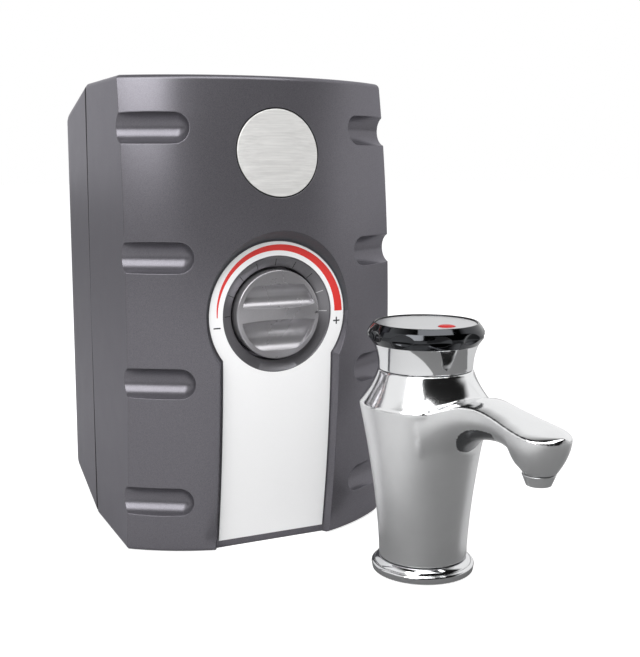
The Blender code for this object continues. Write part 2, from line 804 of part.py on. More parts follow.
def rear_shell():
    """The rear half of the housing, drafted towards the back, with bosses, a drain pad and the tube holes."""
    straight = BACK_Y - REAR_EDGE_RADIUS
    sines = [math.sin(math.radians(angle)) for angle in spread(0, 90, 4)[1:]]
    levels = [SEAM_Y + GAP / 2, straight] + [straight + REAR_EDGE_RADIUS * sine for sine in sines]
    shell = loft("rear_shell", [rear_ring(y, 0.0) for y in levels], HOUSING)
    start = straight - WALL
    levels = [SEAM_Y - OVERRUN, start] + [start + REAR_EDGE_RADIUS * sine for sine in sines]
    cavity = loft("rear_cavity", [rear_ring(y, WALL) for y in levels])
    boss_frames = [move(x, SEAM_Y, z) @ BACK for x, z in BOSSES]
    cores = [
        rod(f"rear_boss_{i}", BOSS_RADIUS, -2 * OVERRUN, REAR_DEPTH, frame=frame, steps=STEPS_HOLE)
        for i, frame in enumerate(boss_frames)
    ]
    cut(cavity, *cores, rod("drain_pad", DRAIN_PAD_RADIUS, -OVERRUN, DRAIN_PAD_TOP_Z, frame=DRAIN_FRAME))
    far = REAR_DEPTH + OVERRUN
    counterbores = [
        rod(f"counterbore_{i}", SCREW_HEAD_RADIUS + GAP, SCREW_SEAT, far, frame=frame, steps=STEPS_HOLE)
        for i, frame in enumerate(boss_frames)
    ]
    near = SCREW_SEAT + OVERRUN
    clears = [
        rod(f"screw_clear_{i}", SCREW_RADIUS + GAP, -OVERRUN, near, frame=frame, steps=STEPS_HOLE)
        for i, frame in enumerate(boss_frames)
    ]
    port_y = VESSEL_Y + PORT_SPACING
    ports = [
        rod(f"port_hole_{i}", PORT_RADIUS + GAP, FOAM_TOP_Z, PORT_TOP_Z, frame=move(x, port_y))
        for i, x in enumerate((-PORT_SPACING, 0, PORT_SPACING))
    ]
    hanger_holes = [
        rod(
            f"hanger_hole_{i}",
            HANGER_SCREW_RADIUS + GAP,
            -HANGER_SCREW_LENGTH,
            OVERRUN,
            frame=move(x, BACK_Y, HANGER_Z) @ BACK,
            steps=STEPS_HOLE,
        )
        for i, x in enumerate(HANGER_SCREWS)
    ]
    cut(
        shell,
        cavity,
        *counterbores,
        *clears,
        *ports,
        *hanger_holes,
        rod("drain_recess", DRAIN_RECESS_RADIUS, -OVERRUN, DRAIN_SEAT_Z, frame=DRAIN_FRAME),
        rod("drain_hole", DRAIN_SHANK_RADIUS + GAP, 0, DRAIN_PAD_TOP_Z + OVERRUN, frame=DRAIN_FRAME),
        rod(
            "gland_hole",
            GLAND_SPIGOT_RADIUS + GAP,
            -WALL - OVERRUN,
            OVERRUN,
            frame=move(GLAND_X, BACK_Y, GLAND_Z) @ BACK,
        ),
    )


def label_plate():
    """The white tag: a ring round the dial and a stem down the front, bent to the recess floor."""
    outline = keyhole(LABEL_RADIUS, LABEL_HALF_WIDTH, LABEL_FOOT_Z)
    label = keyhole_solid(
        "label_plate",
        outline,
        lambda z: floor_y(z) - GAP - LABEL_THICKNESS,
        outline,
        lambda z: floor_y(z) - GAP,
        LABEL_WHITE,
    )
    radius = RING_RADIUS + GAP
    hole = rod("label_hole", radius, -POCKET_DEPTH, POCKET_DEPTH, frame=DIAL_FRAME, steps=STEPS_LARGE)
    cut(label, hole)


def badge_disc():
    surface_disc("badge_disc", BADGE_Z, BADGE_RADIUS, BADGE_PROUD, BADGE_THICKNESS - BADGE_PROUD, BRUSHED)


def temperature_dial():
    """A round knob with a finger scoop above and below a level grip, hollow behind round its hub."""
    foot = -WELL_DEPTH + DIAL_FLOOR_GAP
    shoulder = DIAL_PROUD - DIAL_EDGE
    crown = [
        (DIAL_RADIUS - DIAL_EDGE, DIAL_PROUD),
        (DIAL_RADIUS - DIAL_EDGE / 3, DIAL_PROUD - DIAL_EDGE / 3),
        (DIAL_RADIUS, shoulder),
    ]
    face = [
        (share * (DIAL_RADIUS - DIAL_EDGE), DIAL_PROUD + DIAL_CROWN * (1 - share**2))
        for share in DIAL_FACE_SHARES
    ]
    hollow = [
        (DIAL_RADIUS, foot),
        (DIAL_RADIUS - DIAL_SKIN, foot),
        (DIAL_RADIUS - DIAL_SKIN, foot + DIAL_HOLLOW),
        (DIAL_HUB_RADIUS, foot + DIAL_HOLLOW),
        (DIAL_HUB_RADIUS, foot),
        (0, foot),
    ]
    dial = turned("temperature_dial", face + crown + hollow, DIAL_GREY, DIAL_FRAME, steps=STEPS_LARGE)
    across = Matrix.Rotation(math.radians(90), 4, "Y")
    scoops = (
        ("upper_scoop", 1, GRIP_TOP, UPPER_SCOOP_RADIUS, UPPER_SCOOP_DEPTH),
        ("lower_scoop", -1, GRIP_FOOT, LOWER_SCOOP_RADIUS, LOWER_SCOOP_DEPTH),
    )
    face_height = DIAL_PROUD + DIAL_CROWN
    for name, side, edge, radius, depth in scoops:
        half_chord = math.sqrt(radius**2 - (radius - depth) ** 2)
        centre = move(y=side * (edge + half_chord), z=face_height + radius - depth)
        frame = DIAL_FRAME @ centre @ across
        scoop = rod(name, radius, -DIAL_RADIUS, DIAL_RADIUS, frame=frame, steps=STEPS_LARGE)
        limit = rod(
            name + "_limit",
            DIAL_RADIUS - DIAL_RIM,
            face_height - depth - OVERRUN,
            face_height + 2 * radius,
            frame=DIAL_FRAME,
            steps=STEPS_LARGE,
        )
        modifier_of(scoop, limit, "INTERSECT")
        cut(dial, scoop)
    pointer = block(
        "pointer_notch",
        (DIAL_RADIUS - POINTER_LENGTH, -POINTER_WIDTH / 2, DIAL_PROUD - POINTER_WIDTH),
        (DIAL_RADIUS + OVERRUN, POINTER_WIDTH / 2, DIAL_PROUD + OVERRUN),
        frame=DIAL_FRAME,
    )
    bore = rod("spindle_socket", SPINDLE_RADIUS + GAP, foot - OVERRUN, foot + SPINDLE_GRIP, frame=DIAL_FRAME)
    cut(dial, pointer, bore)


def dial_spindle():
    """The shaft from the dial's hub through the well's floor into the thermostat."""
    top = -WELL_DEPTH + DIAL_FLOOR_GAP + SPINDLE_GRIP - GAP
    foot = -WELL_DEPTH - WALL - 2 * GAP - BRACKET_PLATE - SPINDLE_REACH
    chamfer = SPINDLE_RADIUS / 6
    profile = [
        (0, top),
        (SPINDLE_RADIUS - chamfer, top),
        (SPINDLE_RADIUS, top - chamfer),
        (SPINDLE_RADIUS, foot),
        (0, foot),
    ]
    turned("dial_spindle", profile, STEEL, DIAL_FRAME)


def thermostat():
    """The thermostat and the plate that holds it behind the dial's well."""
    plate_top = -WELL_DEPTH - WALL - GAP
    bracket = block(
        "thermostat_bracket",
        (-BRACKET_HALF_WIDTH, -BRACKET_HALF_HEIGHT, plate_top - BRACKET_PLATE),
        (BRACKET_HALF_WIDTH, BRACKET_HALF_HEIGHT, plate_top),
        ZINC,
        DIAL_FRAME,
    )
    bore = SPINDLE_RADIUS + GAP
    cut(bracket, rod("bracket_hole", bore, -THERMOSTAT_DEPTH - WELL_DEPTH, 0, frame=DIAL_FRAME))
    top = plate_top - BRACKET_PLATE - GAP
    floor = top - SPINDLE_REACH - GAP
    step = top - THERMOSTAT_DEPTH + THERMOSTAT_STEP
    profile = [
        (0, floor),
        (bore, floor),
        (bore, top),
        (THERMOSTAT_RADIUS, top),
        (THERMOSTAT_RADIUS, step),
        (THERMOSTAT_STEP_RADIUS, step),
        (THERMOSTAT_STEP_RADIUS, step - THERMOSTAT_STEP),
        (0, step - THERMOSTAT_STEP),
    ]
    turned("thermostat_body", profile, BLACK_PLASTIC, DIAL_FRAME)


def dome_angle(radius, full):
    """The angle, above the horizontal, at which a dome of the full radius is so wide."""
    return math.degrees(math.acos(radius / full))


def hot_tank():
    """The drawn steel vessel: domed ends, a neck on top and a hole below for the heating element."""
    inner = VESSEL_RADIUS - VESSEL_WALL
    dome = VESSEL_DOME - VESSEL_WALL
    neck_inner = NECK_RADIUS - VESSEL_WALL
    neck_top = VESSEL_TOP_Z + NECK_HEIGHT
    outside = [(NECK_RADIUS, neck_top)]
    neck_angle = dome_angle(NECK_RADIUS, VESSEL_RADIUS)
    hole_angle = dome_angle(ELEMENT_HOLE_RADIUS, VESSEL_RADIUS)
    outside += ellipse(VESSEL_RADIUS, VESSEL_DOME, VESSEL_HIGH_Z, neck_angle, 0, 4)
    outside += ellipse(VESSEL_RADIUS, -VESSEL_DOME, VESSEL_LOW_Z, 0, hole_angle, 4)
    inside = ellipse(inner, -dome, VESSEL_LOW_Z, dome_angle(ELEMENT_HOLE_RADIUS, inner), 0, 2)
    inside += ellipse(inner, dome, VESSEL_HIGH_Z, 0, dome_angle(neck_inner, inner), 2)
    inside.append((neck_inner, neck_top))
    turned("hot_tank", outside + inside, STEEL, VESSEL_FRAME, steps=STEPS_HIDDEN)


def expansion_chamber():
    """A round cup that sits over the vessel's neck."""
    hole = NECK_RADIUS + GAP
    inner = CHAMBER_RADIUS - CHAMBER_WALL
    profile = [
        (0, CHAMBER_TOP_Z),
        (CHAMBER_RADIUS - CHAMBER_WALL, CHAMBER_TOP_Z),
        (CHAMBER_RADIUS, CHAMBER_TOP_Z - CHAMBER_WALL),
        (CHAMBER_RADIUS, CHAMBER_FOOT_Z),
        (hole, CHAMBER_FOOT_Z),
        (hole, CHAMBER_FOOT_Z + CHAMBER_WALL),
        (inner, CHAMBER_FOOT_Z + CHAMBER_WALL),
        (inner, CHAMBER_TOP_Z - CHAMBER_WALL),
        (0, CHAMBER_TOP_Z - CHAMBER_WALL),
    ]
    turned("expansion_chamber", profile, WHITE_PLASTIC, VESSEL_FRAME, steps=STEPS_HIDDEN)


def heating_element():
    """A hairpin tube in the vessel, and the flanged plug that it stands on."""
    plug_radius = ELEMENT_HOLE_RADIUS - GAP
    plug_top = VESSEL_FOOT_Z + PLUG_HEIGHT
    seat = VESSEL_FOOT_Z - GAP
    profile = [
        (0, plug_top),
        (plug_radius, plug_top),
        (plug_radius, seat),
        (FLANGE_RADIUS, seat),
        (FLANGE_RADIUS, seat - FLANGE_THICKNESS),
        (0, seat - FLANGE_THICKNESS),
    ]
    turned("element_flange", profile, BRASS, VESSEL_FRAME, steps=STEPS_HIDDEN)
    foot = plug_top + GAP
    bend_z = VESSEL_TOP_Z - ELEMENT_HEADROOM
    turns = [math.radians(angle) for angle in spread(180, 0, 8)]
    half = ELEMENT_HALF_SPREAD
    bend = [(half * math.cos(t), 0, bend_z + half * math.sin(t)) for t in turns]
    legs = [(-half, 0, foot), *bend, (half, 0, foot)]
    tube("heating_element", legs, ELEMENT_TUBE_RADIUS, STEEL, VESSEL_FRAME)


def tube(name, points, radius, look, frame=None, parent=None):
    """A round tube with filled ends along the points."""
    curve = bpy.data.curves.new(name, "CURVE")
    curve.dimensions = "3D"
    curve.bevel_depth = radius
    curve.bevel_resolution = 1
    curve.use_fill_caps = True
    spline = curve.splines.new("POLY")
    spline.points.add(len(points) - 1)
    for point, place_at in zip(spline.points, points):
        point.co = (*place_at, 1)
    return place(name, curve, look, frame, parent)


def thermal_fuse():
    """A cut-out disc against the vessel's front wall, in a window of the foam."""
    face = VESSEL_RADIUS - VESSEL_Y + GAP
    profile = [
        (0, face + FUSE_THICKNESS),
        (FUSE_RADIUS * FUSE_CAP_SHARE, face + FUSE_THICKNESS),
        (FUSE_RADIUS * FUSE_CAP_SHARE, face + FUSE_THICKNESS / 2),
        (FUSE_RADIUS, face + FUSE_THICKNESS / 2),
        (FUSE_RADIUS, face),
        (0, face),
    ]
    turned("thermal_fuse", profile, BLACK_PLASTIC, move(z=FUSE_Z) @ FRONT)


def core_profile():
    """The room that the vessel, its chamber and its flange take, with a gap all round."""
    chamber = CHAMBER_RADIUS + GAP
    vessel = VESSEL_RADIUS + GAP
    dome = VESSEL_DOME + GAP
    flange = FLANGE_RADIUS + GAP
    profile = [(0, CHAMBER_TOP_Z + GAP), (chamber, CHAMBER_TOP_Z + GAP)]
    profile += ellipse(vessel, dome, VESSEL_HIGH_Z, dome_angle(chamber, vessel), 0, 5)
    profile += ellipse(vessel, -dome, VESSEL_LOW_Z, 0, dome_angle(flange, vessel), 6)
    foot = VESSEL_FOOT_Z - 2 * GAP - FLANGE_THICKNESS
    return profile + [(flange, foot), (0, foot)]


def foam_slab(name, front_y_at, back_y_at, front_low, back_low):
    """A foam block whose underside may slope, as a loft between its front and back rectangles."""
    half = FOAM_HALF_WIDTH
    top = FOAM_TOP_Z
    rings = [
        [(-half, y, low), (half, y, low), (half, y, top), (-half, y, top)]
        for y, low in ((front_y_at, front_low), (back_y_at, back_low))
    ]
    return loft(name, rings, FOAM, smooth=False)


def insulation():
    """Two foam halves round the vessel, split through its axis."""
    low = WALL + GAP
    face_y = VESSEL_Y - VESSEL_RADIUS - FOAM_FRONT_WALL
    front = foam_slab("insulation_front", face_y, VESSEL_Y - GAP / 2, low, low)
    back_y = BACK_Y - REAR_EDGE_RADIUS
    slope = math.hypot(1, REAR_DRAFT / REAR_DEPTH)

    def low_at(y):
        return REAR_DRAFT * max(0.0, y - SEAM_Y) / REAR_DEPTH + WALL * slope + 2 * GAP

    rear = foam_slab("insulation_rear", VESSEL_Y + GAP / 2, back_y, low_at(VESSEL_Y), low_at(back_y) + GAP)
    core = turned("foam_core", core_profile(), frame=VESSEL_FRAME, steps=STEPS_HIDDEN)
    window_frame = move(y=VESSEL_Y, z=FUSE_Z) @ FRONT
    window = rod("fuse_window", FUSE_RADIUS + GAP, 0, TANK_WIDTH, frame=window_frame)
    cut(front, core, window)
    shaft = rod("drain_shaft", DRAIN_PAD_RADIUS + GAP, -OVERRUN, VESSEL_LOW_Z, frame=DRAIN_FRAME)
    cut(rear, core, shaft)


def ports():
    """Three barbed stubs on the expansion chamber: cold inlet, hot outlet and vent."""
    foot = CHAMBER_TOP_Z + GAP
    barb_z = PORT_TOP_Z - PORT_BARB_HEIGHT
    profile = [
        (PORT_RADIUS - PORT_BARB / 2, PORT_TOP_Z),
        (PORT_RADIUS, barb_z),
        (PORT_RADIUS - PORT_BARB / 2, barb_z),
        (PORT_RADIUS - PORT_BARB / 2, barb_z - PORT_BARB_HEIGHT),
        (PORT_RADIUS, barb_z - PORT_BARB_HEIGHT),
        (PORT_RADIUS, foot + PORT_FOOT_HEIGHT),
        (PORT_FOOT_RADIUS, foot + PORT_FOOT_HEIGHT),
        (PORT_FOOT_RADIUS, foot),
        (PORT_BORE_RADIUS, foot),
        (PORT_BORE_RADIUS, PORT_TOP_Z),
    ]
    names = (("inlet_port", -PORT_SPACING), ("vent_port", 0), ("outlet_port", PORT_SPACING))
    for name, x in names:
        turned(name, profile, WHITE_PLASTIC, move(x, VESSEL_Y + PORT_SPACING), steps=STEPS_HOLE)


def drain():
    """A drain plug that reaches from the underside up to the vessel, and its seal."""
    frame = DRAIN_FRAME
    seat = DRAIN_SEAT_Z - SEAL_THICKNESS - 2 * GAP
    reach = math.sqrt(1 - (DRAIN_SETBACK / VESSEL_RADIUS) ** 2)
    top = VESSEL_LOW_Z - VESSEL_DOME * reach - 4 * GAP
    profile = [
        (0, top),
        (DRAIN_SHANK_RADIUS, top),
        (DRAIN_SHANK_RADIUS, seat),
        (DRAIN_HEAD_RADIUS, seat),
        (DRAIN_HEAD_RADIUS, seat - DRAIN_HEAD_HEIGHT),
        (0, seat - DRAIN_HEAD_HEIGHT),
    ]
    plug = turned("drain_plug", profile, BRASS, frame)
    slot = block(
        "drain_slot",
        (-DRAIN_HEAD_RADIUS - OVERRUN, -DRAIN_SHANK_RADIUS / 5, -OVERRUN),
        (DRAIN_HEAD_RADIUS + OVERRUN, DRAIN_SHANK_RADIUS / 5, seat - DRAIN_HEAD_HEIGHT / 2),
        frame=frame,
    )
    cut(plug, slot)
    low = seat + GAP
    high = DRAIN_SEAT_Z - GAP
    bore = DRAIN_SHANK_RADIUS + GAP
    seal = [(DRAIN_HEAD_RADIUS, high), (DRAIN_HEAD_RADIUS, low), (bore, low), (bore, high)]
    turned("drain_seal", seal, RUBBER, frame)


def pan_screw(name, radius, length, head_radius, head_height, frame, parent=None):
    """A pan head screw along Z, tip up, with the underside of its head at zero."""
    profile = [
        (0, length),
        (SCREW_TIP_SHARE * radius, length),
        (radius, length - radius),
        (radius, 0),
        (head_radius, 0),
        (head_radius, -HEAD_SIDE_SHARE * head_height),
        (HEAD_TOP_SHARE * head_radius, -head_height),
        (0, -head_height),
    ]
    screw = turned(name, profile, ZINC, frame, parent, steps=STEPS_HOLE)
    slot = block(
        name + "_slot",
        (-head_radius - OVERRUN, -SLOT_SHARE * radius, -head_height - OVERRUN),
        (head_radius + OVERRUN, SLOT_SHARE * radius, -head_height / 2),
        frame=frame,
        parent=parent,
    )
    cut(screw, slot)


def housing_screws():
    for i, (x, z) in enumerate(BOSSES, start=1):
        frame = move(x, SEAM_Y + SCREW_SEAT + GAP, z) @ FRONT
        name = f"housing_screw_{i}"
        pan_screw(name, SCREW_RADIUS, SCREW_LENGTH, SCREW_HEAD_RADIUS, SCREW_HEAD_HEIGHT, frame)


def wall_bracket():
    """A folded steel hanger with two keyholes, clear of the back so that screw heads fit behind it."""
    bend = [
        (-HANGER_FOOT_OUTER, 0),
        (-HANGER_FOOT_INNER, 0),
        (-HANGER_FACE_HALF, HANGER_STAND),
        (HANGER_FACE_HALF, HANGER_STAND),
        (HANGER_FOOT_INNER, 0),
        (HANGER_FOOT_OUTER, 0),
    ]
    low = HANGER_Z - HANGER_HEIGHT / 2
    bm = bmesh.new()
    strips = [
        [bm.verts.new((x, BACK_Y + GAP + y, z)) for x, y in bend]
        for z in (low, low + HANGER_HEIGHT)
    ]
    for i in range(len(bend) - 1):
        bm.faces.new((strips[0][i + 1], strips[0][i], strips[1][i], strips[1][i + 1]))
    mesh = bpy.data.meshes.new("wall_bracket")
    bm.to_mesh(mesh)
    bm.free()
    bracket = place("wall_bracket", mesh, ZINC)
    solidify = bracket.modifiers.new("sheet", "SOLIDIFY")
    solidify.thickness = HANGER_PLATE
    solidify.offset = 1.0
    solidify.use_even_offset = True
    for i, side in enumerate((-1, 1)):
        frame = move(side * KEYHOLE_X, BACK_Y + HANGER_STAND, HANGER_Z - KEYHOLE_RISE / 2) @ BACK
        slot_frame = move(side * KEYHOLE_X, BACK_Y + HANGER_STAND, HANGER_Z + KEYHOLE_RISE / 2) @ BACK
        through = HANGER_PLATE + OVERRUN
        hole = rod(f"keyhole_{i}", KEYHOLE_RADIUS, -OVERRUN, through, frame=frame)
        end = rod(f"keyhole_end_{i}", KEYHOLE_SLOT_RADIUS, -OVERRUN, through, frame=slot_frame)
        slot = block(
            f"keyhole_slot_{i}",
            (-KEYHOLE_SLOT_RADIUS, -KEYHOLE_RISE, -OVERRUN),
            (KEYHOLE_SLOT_RADIUS, 0, through),
            frame=frame,
        )
        cut(bracket, hole, slot, end)
    for i, x in enumerate(HANGER_SCREWS, start=1):
        foot_y = BACK_Y + GAP
        frame = move(x, foot_y, HANGER_Z) @ BACK
        hole = rod(
            f"hanger_foot_hole_{i}",
            HANGER_SCREW_RADIUS + GAP,
            -OVERRUN / 10,
            HANGER_PLATE + OVERRUN,
            frame=frame,
            steps=STEPS_HOLE,
        )
        cut(bracket, hole)
        frame = move(x, foot_y + HANGER_PLATE + GAP, HANGER_Z) @ FRONT
        length = HANGER_PLATE + HANGER_SCREW_LENGTH
        name = f"bracket_screw_{i}"
        pan_screw(name, HANGER_SCREW_RADIUS, length, HANGER_HEAD_RADIUS, HANGER_HEAD_HEIGHT, frame)


def cord_gland():
    """The cord's gland in the back wall. No cord is modelled, and its mouth is a blind dimple."""
    profile = [
        (0, GAP + GLAND_FLANGE + GLAND_NOSE - GLAND_DIMPLE),
        (GLAND_DIMPLE_RADIUS, GAP + GLAND_FLANGE + GLAND_NOSE - GLAND_DIMPLE),
        (GLAND_DIMPLE_RADIUS, GAP + GLAND_FLANGE + GLAND_NOSE),
        (GLAND_NOSE_RADIUS, GAP + GLAND_FLANGE + GLAND_NOSE),
        (GLAND_NOSE_RADIUS, GAP + GLAND_FLANGE),
        (GLAND_RADIUS, GAP + GLAND_FLANGE),
        (GLAND_RADIUS, GAP),
        (GLAND_SPIGOT_RADIUS, GAP),
        (GLAND_SPIGOT_RADIUS, -WALL),
        (0, -WALL),
    ]
    turned("cord_gland", profile, BLACK_PLASTIC, move(GLAND_X, BACK_Y, GLAND_Z) @ BACK)


# Faucet


def faucet_empty():
    empty = bpy.data.objects.new("faucet_axis", None)
    PARTS.objects.link(empty)
    empty.location = (FAUCET_X, FAUCET_Y, 0)
    empty.rotation_euler = (0, 0, SPOUT_TURN)
    return empty


FAUCET = faucet_empty()


def column_radius(z):
    share = max(0.0, (z - COLUMN_FOOT_Z) / (SHOULDER_Z - COLUMN_FOOT_Z))
    return COLUMN_FOOT_RADIUS + (SHOULDER_RADIUS - COLUMN_FOOT_RADIUS) * share**COLUMN_FLARE_POWER


def column_profile():
    """The flared column, its rounded shoulder and the cone that hollows slightly up to the neck."""
    cone_foot = (SHOULDER_RADIUS - SHOULDER_EDGE, SHOULDER_Z + 2 * SHOULDER_EDGE)
    cone = []
    for share in spread(1, 0, 4):
        sag = CONE_SAG * math.sin(math.pi * share)
        radius = cone_foot[0] + (COLLAR_RADIUS - cone_foot[0]) * share - sag
        cone.append((radius, cone_foot[1] + (NECK_Z - cone_foot[1]) * share))
    side = [(column_radius(z), z) for z in spread(SHOULDER_Z, COLUMN_FOOT_Z, 6)]
    return [(0, NECK_Z), *cone, (SHOULDER_RADIUS, SHOULDER_Z + SHOULDER_EDGE), *side, (0, COLUMN_FOOT_Z)]


def spout_curve(shares, rise, samples):
    """A curve of (reach, height), from shares of the reach and of a rise over the shoulder."""
    points = [(reach * SPOUT_REACH, SHOULDER_Z + share * rise) for reach, share in shares]
    return smooth_curve(points, samples)


def spout_half_width(reach):
    """Half the width of the spout's top: it runs off the round shoulder, to a waist and a round tip."""
    waist = SPOUT_WAIST_SHARE * SPOUT_REACH
    edge = SHOULDER_RADIUS - ROOT_INSET
    root = edge * math.cos(ROOT_ANGLE)
    if reach <= root:
        return math.sqrt(edge**2 - reach**2)
    if reach <= waist:
        share = (reach - root) / (waist - root)
        slope = -(waist - root) / math.tan(ROOT_ANGLE)
        start = 2 * share**3 - 3 * share**2 + 1
        lean = share**3 - 2 * share**2 + share
        return start * edge * math.sin(ROOT_ANGLE) + lean * slope + (1 - start) * WAIST_HALF_WIDTH
    if reach <= SPOUT_REACH:
        share = (reach - waist) / (SPOUT_REACH - waist)
        return WAIST_HALF_WIDTH + (TIP_RADIUS - WAIST_HALF_WIDTH) * share**2 * (3 - 2 * share)
    return math.sqrt(max(0.0, TIP_RADIUS**2 - (reach - SPOUT_REACH) ** 2))


def bell_radius(z, high):
    """Radius, at a height, of the bell that hangs from the tip's edge down to the nozzle."""
    share = min(1.0, max(0.0, (z - OUTLET_SEAM_Z) / (high - OUTLET_SEAM_Z)))
    return OUTLET_SEAM_RADIUS + (TIP_RADIUS - OUTLET_SEAM_RADIUS) * (1 - (1 - share) ** BELL_POWER)


def bell_floor(offset, high):
    """Height of the bell's underside so far from its axis."""
    share = (offset - OUTLET_SEAM_RADIUS) / (TIP_RADIUS - OUTLET_SEAM_RADIUS)
    if share <= 0:
        return OUTLET_SEAM_Z
    rise = 1 - (1 - min(1.0, share)) ** (1 / BELL_POWER)
    return OUTLET_SEAM_Z + (high - OUTLET_SEAM_Z) * rise


def spout_ring(reach, floor, top):
    """One upright section: a crowned top with a round edge, and sides that sweep under it."""
    width = spout_half_width(reach)
    edge = min(SPOUT_EDGE, width / 2)
    side_top = top - edge
    offset = abs(reach - SPOUT_REACH)
    first = SPOUT_BLEND_SHARE * SPOUT_REACH
    mix = min(1.0, max(0.0, (reach - first) / (SPOUT_REACH - first)))
    mix = mix * mix * (3 - 2 * mix)
    full = math.sqrt(max(TIP_RADIUS**2 - offset**2, 0.0))
    half = [(0.0, top + SPOUT_CROWN), (width / 2, top + SPOUT_CROWN * 3 / 4), (width - edge, top)]
    half.append((width - edge * EDGE_ROUND_SHARE, top - edge * EDGE_ROUND_SHARE))
    for level in range(SIDE_LEVELS, -1, -1):
        share = (level / SIDE_LEVELS) ** 2
        z = floor + (side_top - floor) * share
        swept = width * (1 - (1 - share) ** SIDE_POWER) ** SIDE_SHAPE
        bell = math.sqrt(max(bell_radius(z, side_top) ** 2 - offset**2, 0.0))
        if full > 0:
            bell *= width / full
        half.append((swept + (bell - swept) * mix, z))
    half.append((0.0, floor))
    right = [(across, -reach, z) for across, z in half]
    left = [(-across, -reach, z) for across, z in reversed(half[1:-1])]
    return right + left


def spout_rings():
    top = spout_curve(SPOUT_TOP_SHARES, SPOUT_RISE, 4)
    under = spout_curve(SPOUT_UNDER_SHARES, SHOULDER_Z - OUTLET_SEAM_Z, UNDER_SAMPLES)
    stations = [(point[0], point[1]) for point in under]
    back = stations[-1][0]
    stations += [(reach, OUTLET_SEAM_Z) for reach in spread(back, SPOUT_REACH, 4)[1:-1]]
    for angle in spread(0, 84, 8):
        offset = TIP_RADIUS * math.sin(math.radians(angle))
        reach = SPOUT_REACH + offset
        stations.append((reach, bell_floor(offset, height_at(top, reach) - SPOUT_EDGE)))
    return [spout_ring(reach, floor, height_at(top, reach)) for reach, floor in stations]


def faucet_body():
    """One chrome casting: the turned column with its shoulder, and the lofted spout that grows out of it."""
    body = turned("faucet_body", column_profile(), CHROME, parent=FAUCET, steps=STEPS_LARGE)
    join(body, loft("spout", spout_rings(), parent=FAUCET))
    outlet = move(y=-SPOUT_REACH)
    mouth = NECK_Z + OVERRUN
    socket_top = SOCKET_LIFT + SOCKET_HEIGHT + GAP
    cut(
        body,
        rod("valve_bore", VALVE_BORE_RADIUS, VALVE_FLOOR_Z, mouth, parent=FAUCET, steps=STEPS_HIDDEN),
        rod("socket_bore", SOCKET_RADIUS + GAP, 0, socket_top, parent=FAUCET, steps=STEPS_HIDDEN),
        rod(
            "outlet_bore",
            NOZZLE_SPIGOT_RADIUS + GAP,
            OUTLET_SEAM_Z - OVERRUN,
            OUTLET_SEAM_Z + NOZZLE_SPIGOT + GAP,
            frame=outlet,
            parent=FAUCET,
        ),
    )


def base_flange():
    """The chrome foot: a rounded rim and a cove that rises to the column."""
    top = COLUMN_FOOT_Z - GAP
    inner_edge = COLUMN_FOOT_RADIUS + GAP
    cove_width = FOOT_RADIUS - FOOT_ROUND - inner_edge
    cove = [(inner_edge, top)]
    for angle in spread(0, 90, 4)[1:]:
        turn = math.radians(angle)
        fall = (1 - math.cos(turn)) ** COVE_POWER
        cove.append((inner_edge + cove_width * math.sin(turn), top - (top - FOOT_RIM_Z) * fall))
    rim = []
    for angle in spread(90, -20, 3)[1:]:
        turn = math.radians(angle)
        inset = FOOT_ROUND * (1 - math.cos(turn))
        rim.append((FOOT_RADIUS - inset, FOOT_RIM_Z - FOOT_ROUND * (1 - math.sin(turn))))
    recess = GASKET_THICKNESS + GAP
    under = [
        (FOOT_RADIUS - FOOT_ROUND / 3, FOOT_CLEAR_Z),
        (GASKET_OUTER_RADIUS + GAP, FOOT_CLEAR_Z),
        (GASKET_OUTER_RADIUS + GAP, recess),
        (GASKET_INNER_RADIUS - GAP, recess),
        (GASKET_INNER_RADIUS - GAP, FOOT_CLEAR_Z),
        (FOOT_BORE_RADIUS, FOOT_CLEAR_Z),
        (FOOT_BORE_RADIUS, top),
    ]
    turned("base_flange", cove + rim + under, CHROME, parent=FAUCET, steps=STEPS_LARGE)


def base_gasket():
    profile = [
        (GASKET_OUTER_RADIUS, GASKET_THICKNESS),
        (GASKET_OUTER_RADIUS, 0),
        (GASKET_INNER_RADIUS, 0),
        (GASKET_INNER_RADIUS, GASKET_THICKNESS),
    ]
    turned("base_gasket", profile, RUBBER, parent=FAUCET, steps=STEPS_LARGE)


def shank_socket():
    """A brass insert in the foot of the column, bored for the threaded shank."""
    low = SOCKET_LIFT
    high = SOCKET_LIFT + SOCKET_HEIGHT
    chamfer = SOCKET_RADIUS - SOCKET_BORE_RADIUS
    profile = [
        (SOCKET_RADIUS, high),
        (SOCKET_RADIUS, low),
        (SOCKET_BORE_RADIUS + chamfer / 4, low),
        (SOCKET_BORE_RADIUS, low + chamfer / 4),
        (SOCKET_BORE_RADIUS, high),
    ]
    turned("shank_socket", profile, BRASS, parent=FAUCET, steps=STEPS_HIDDEN)


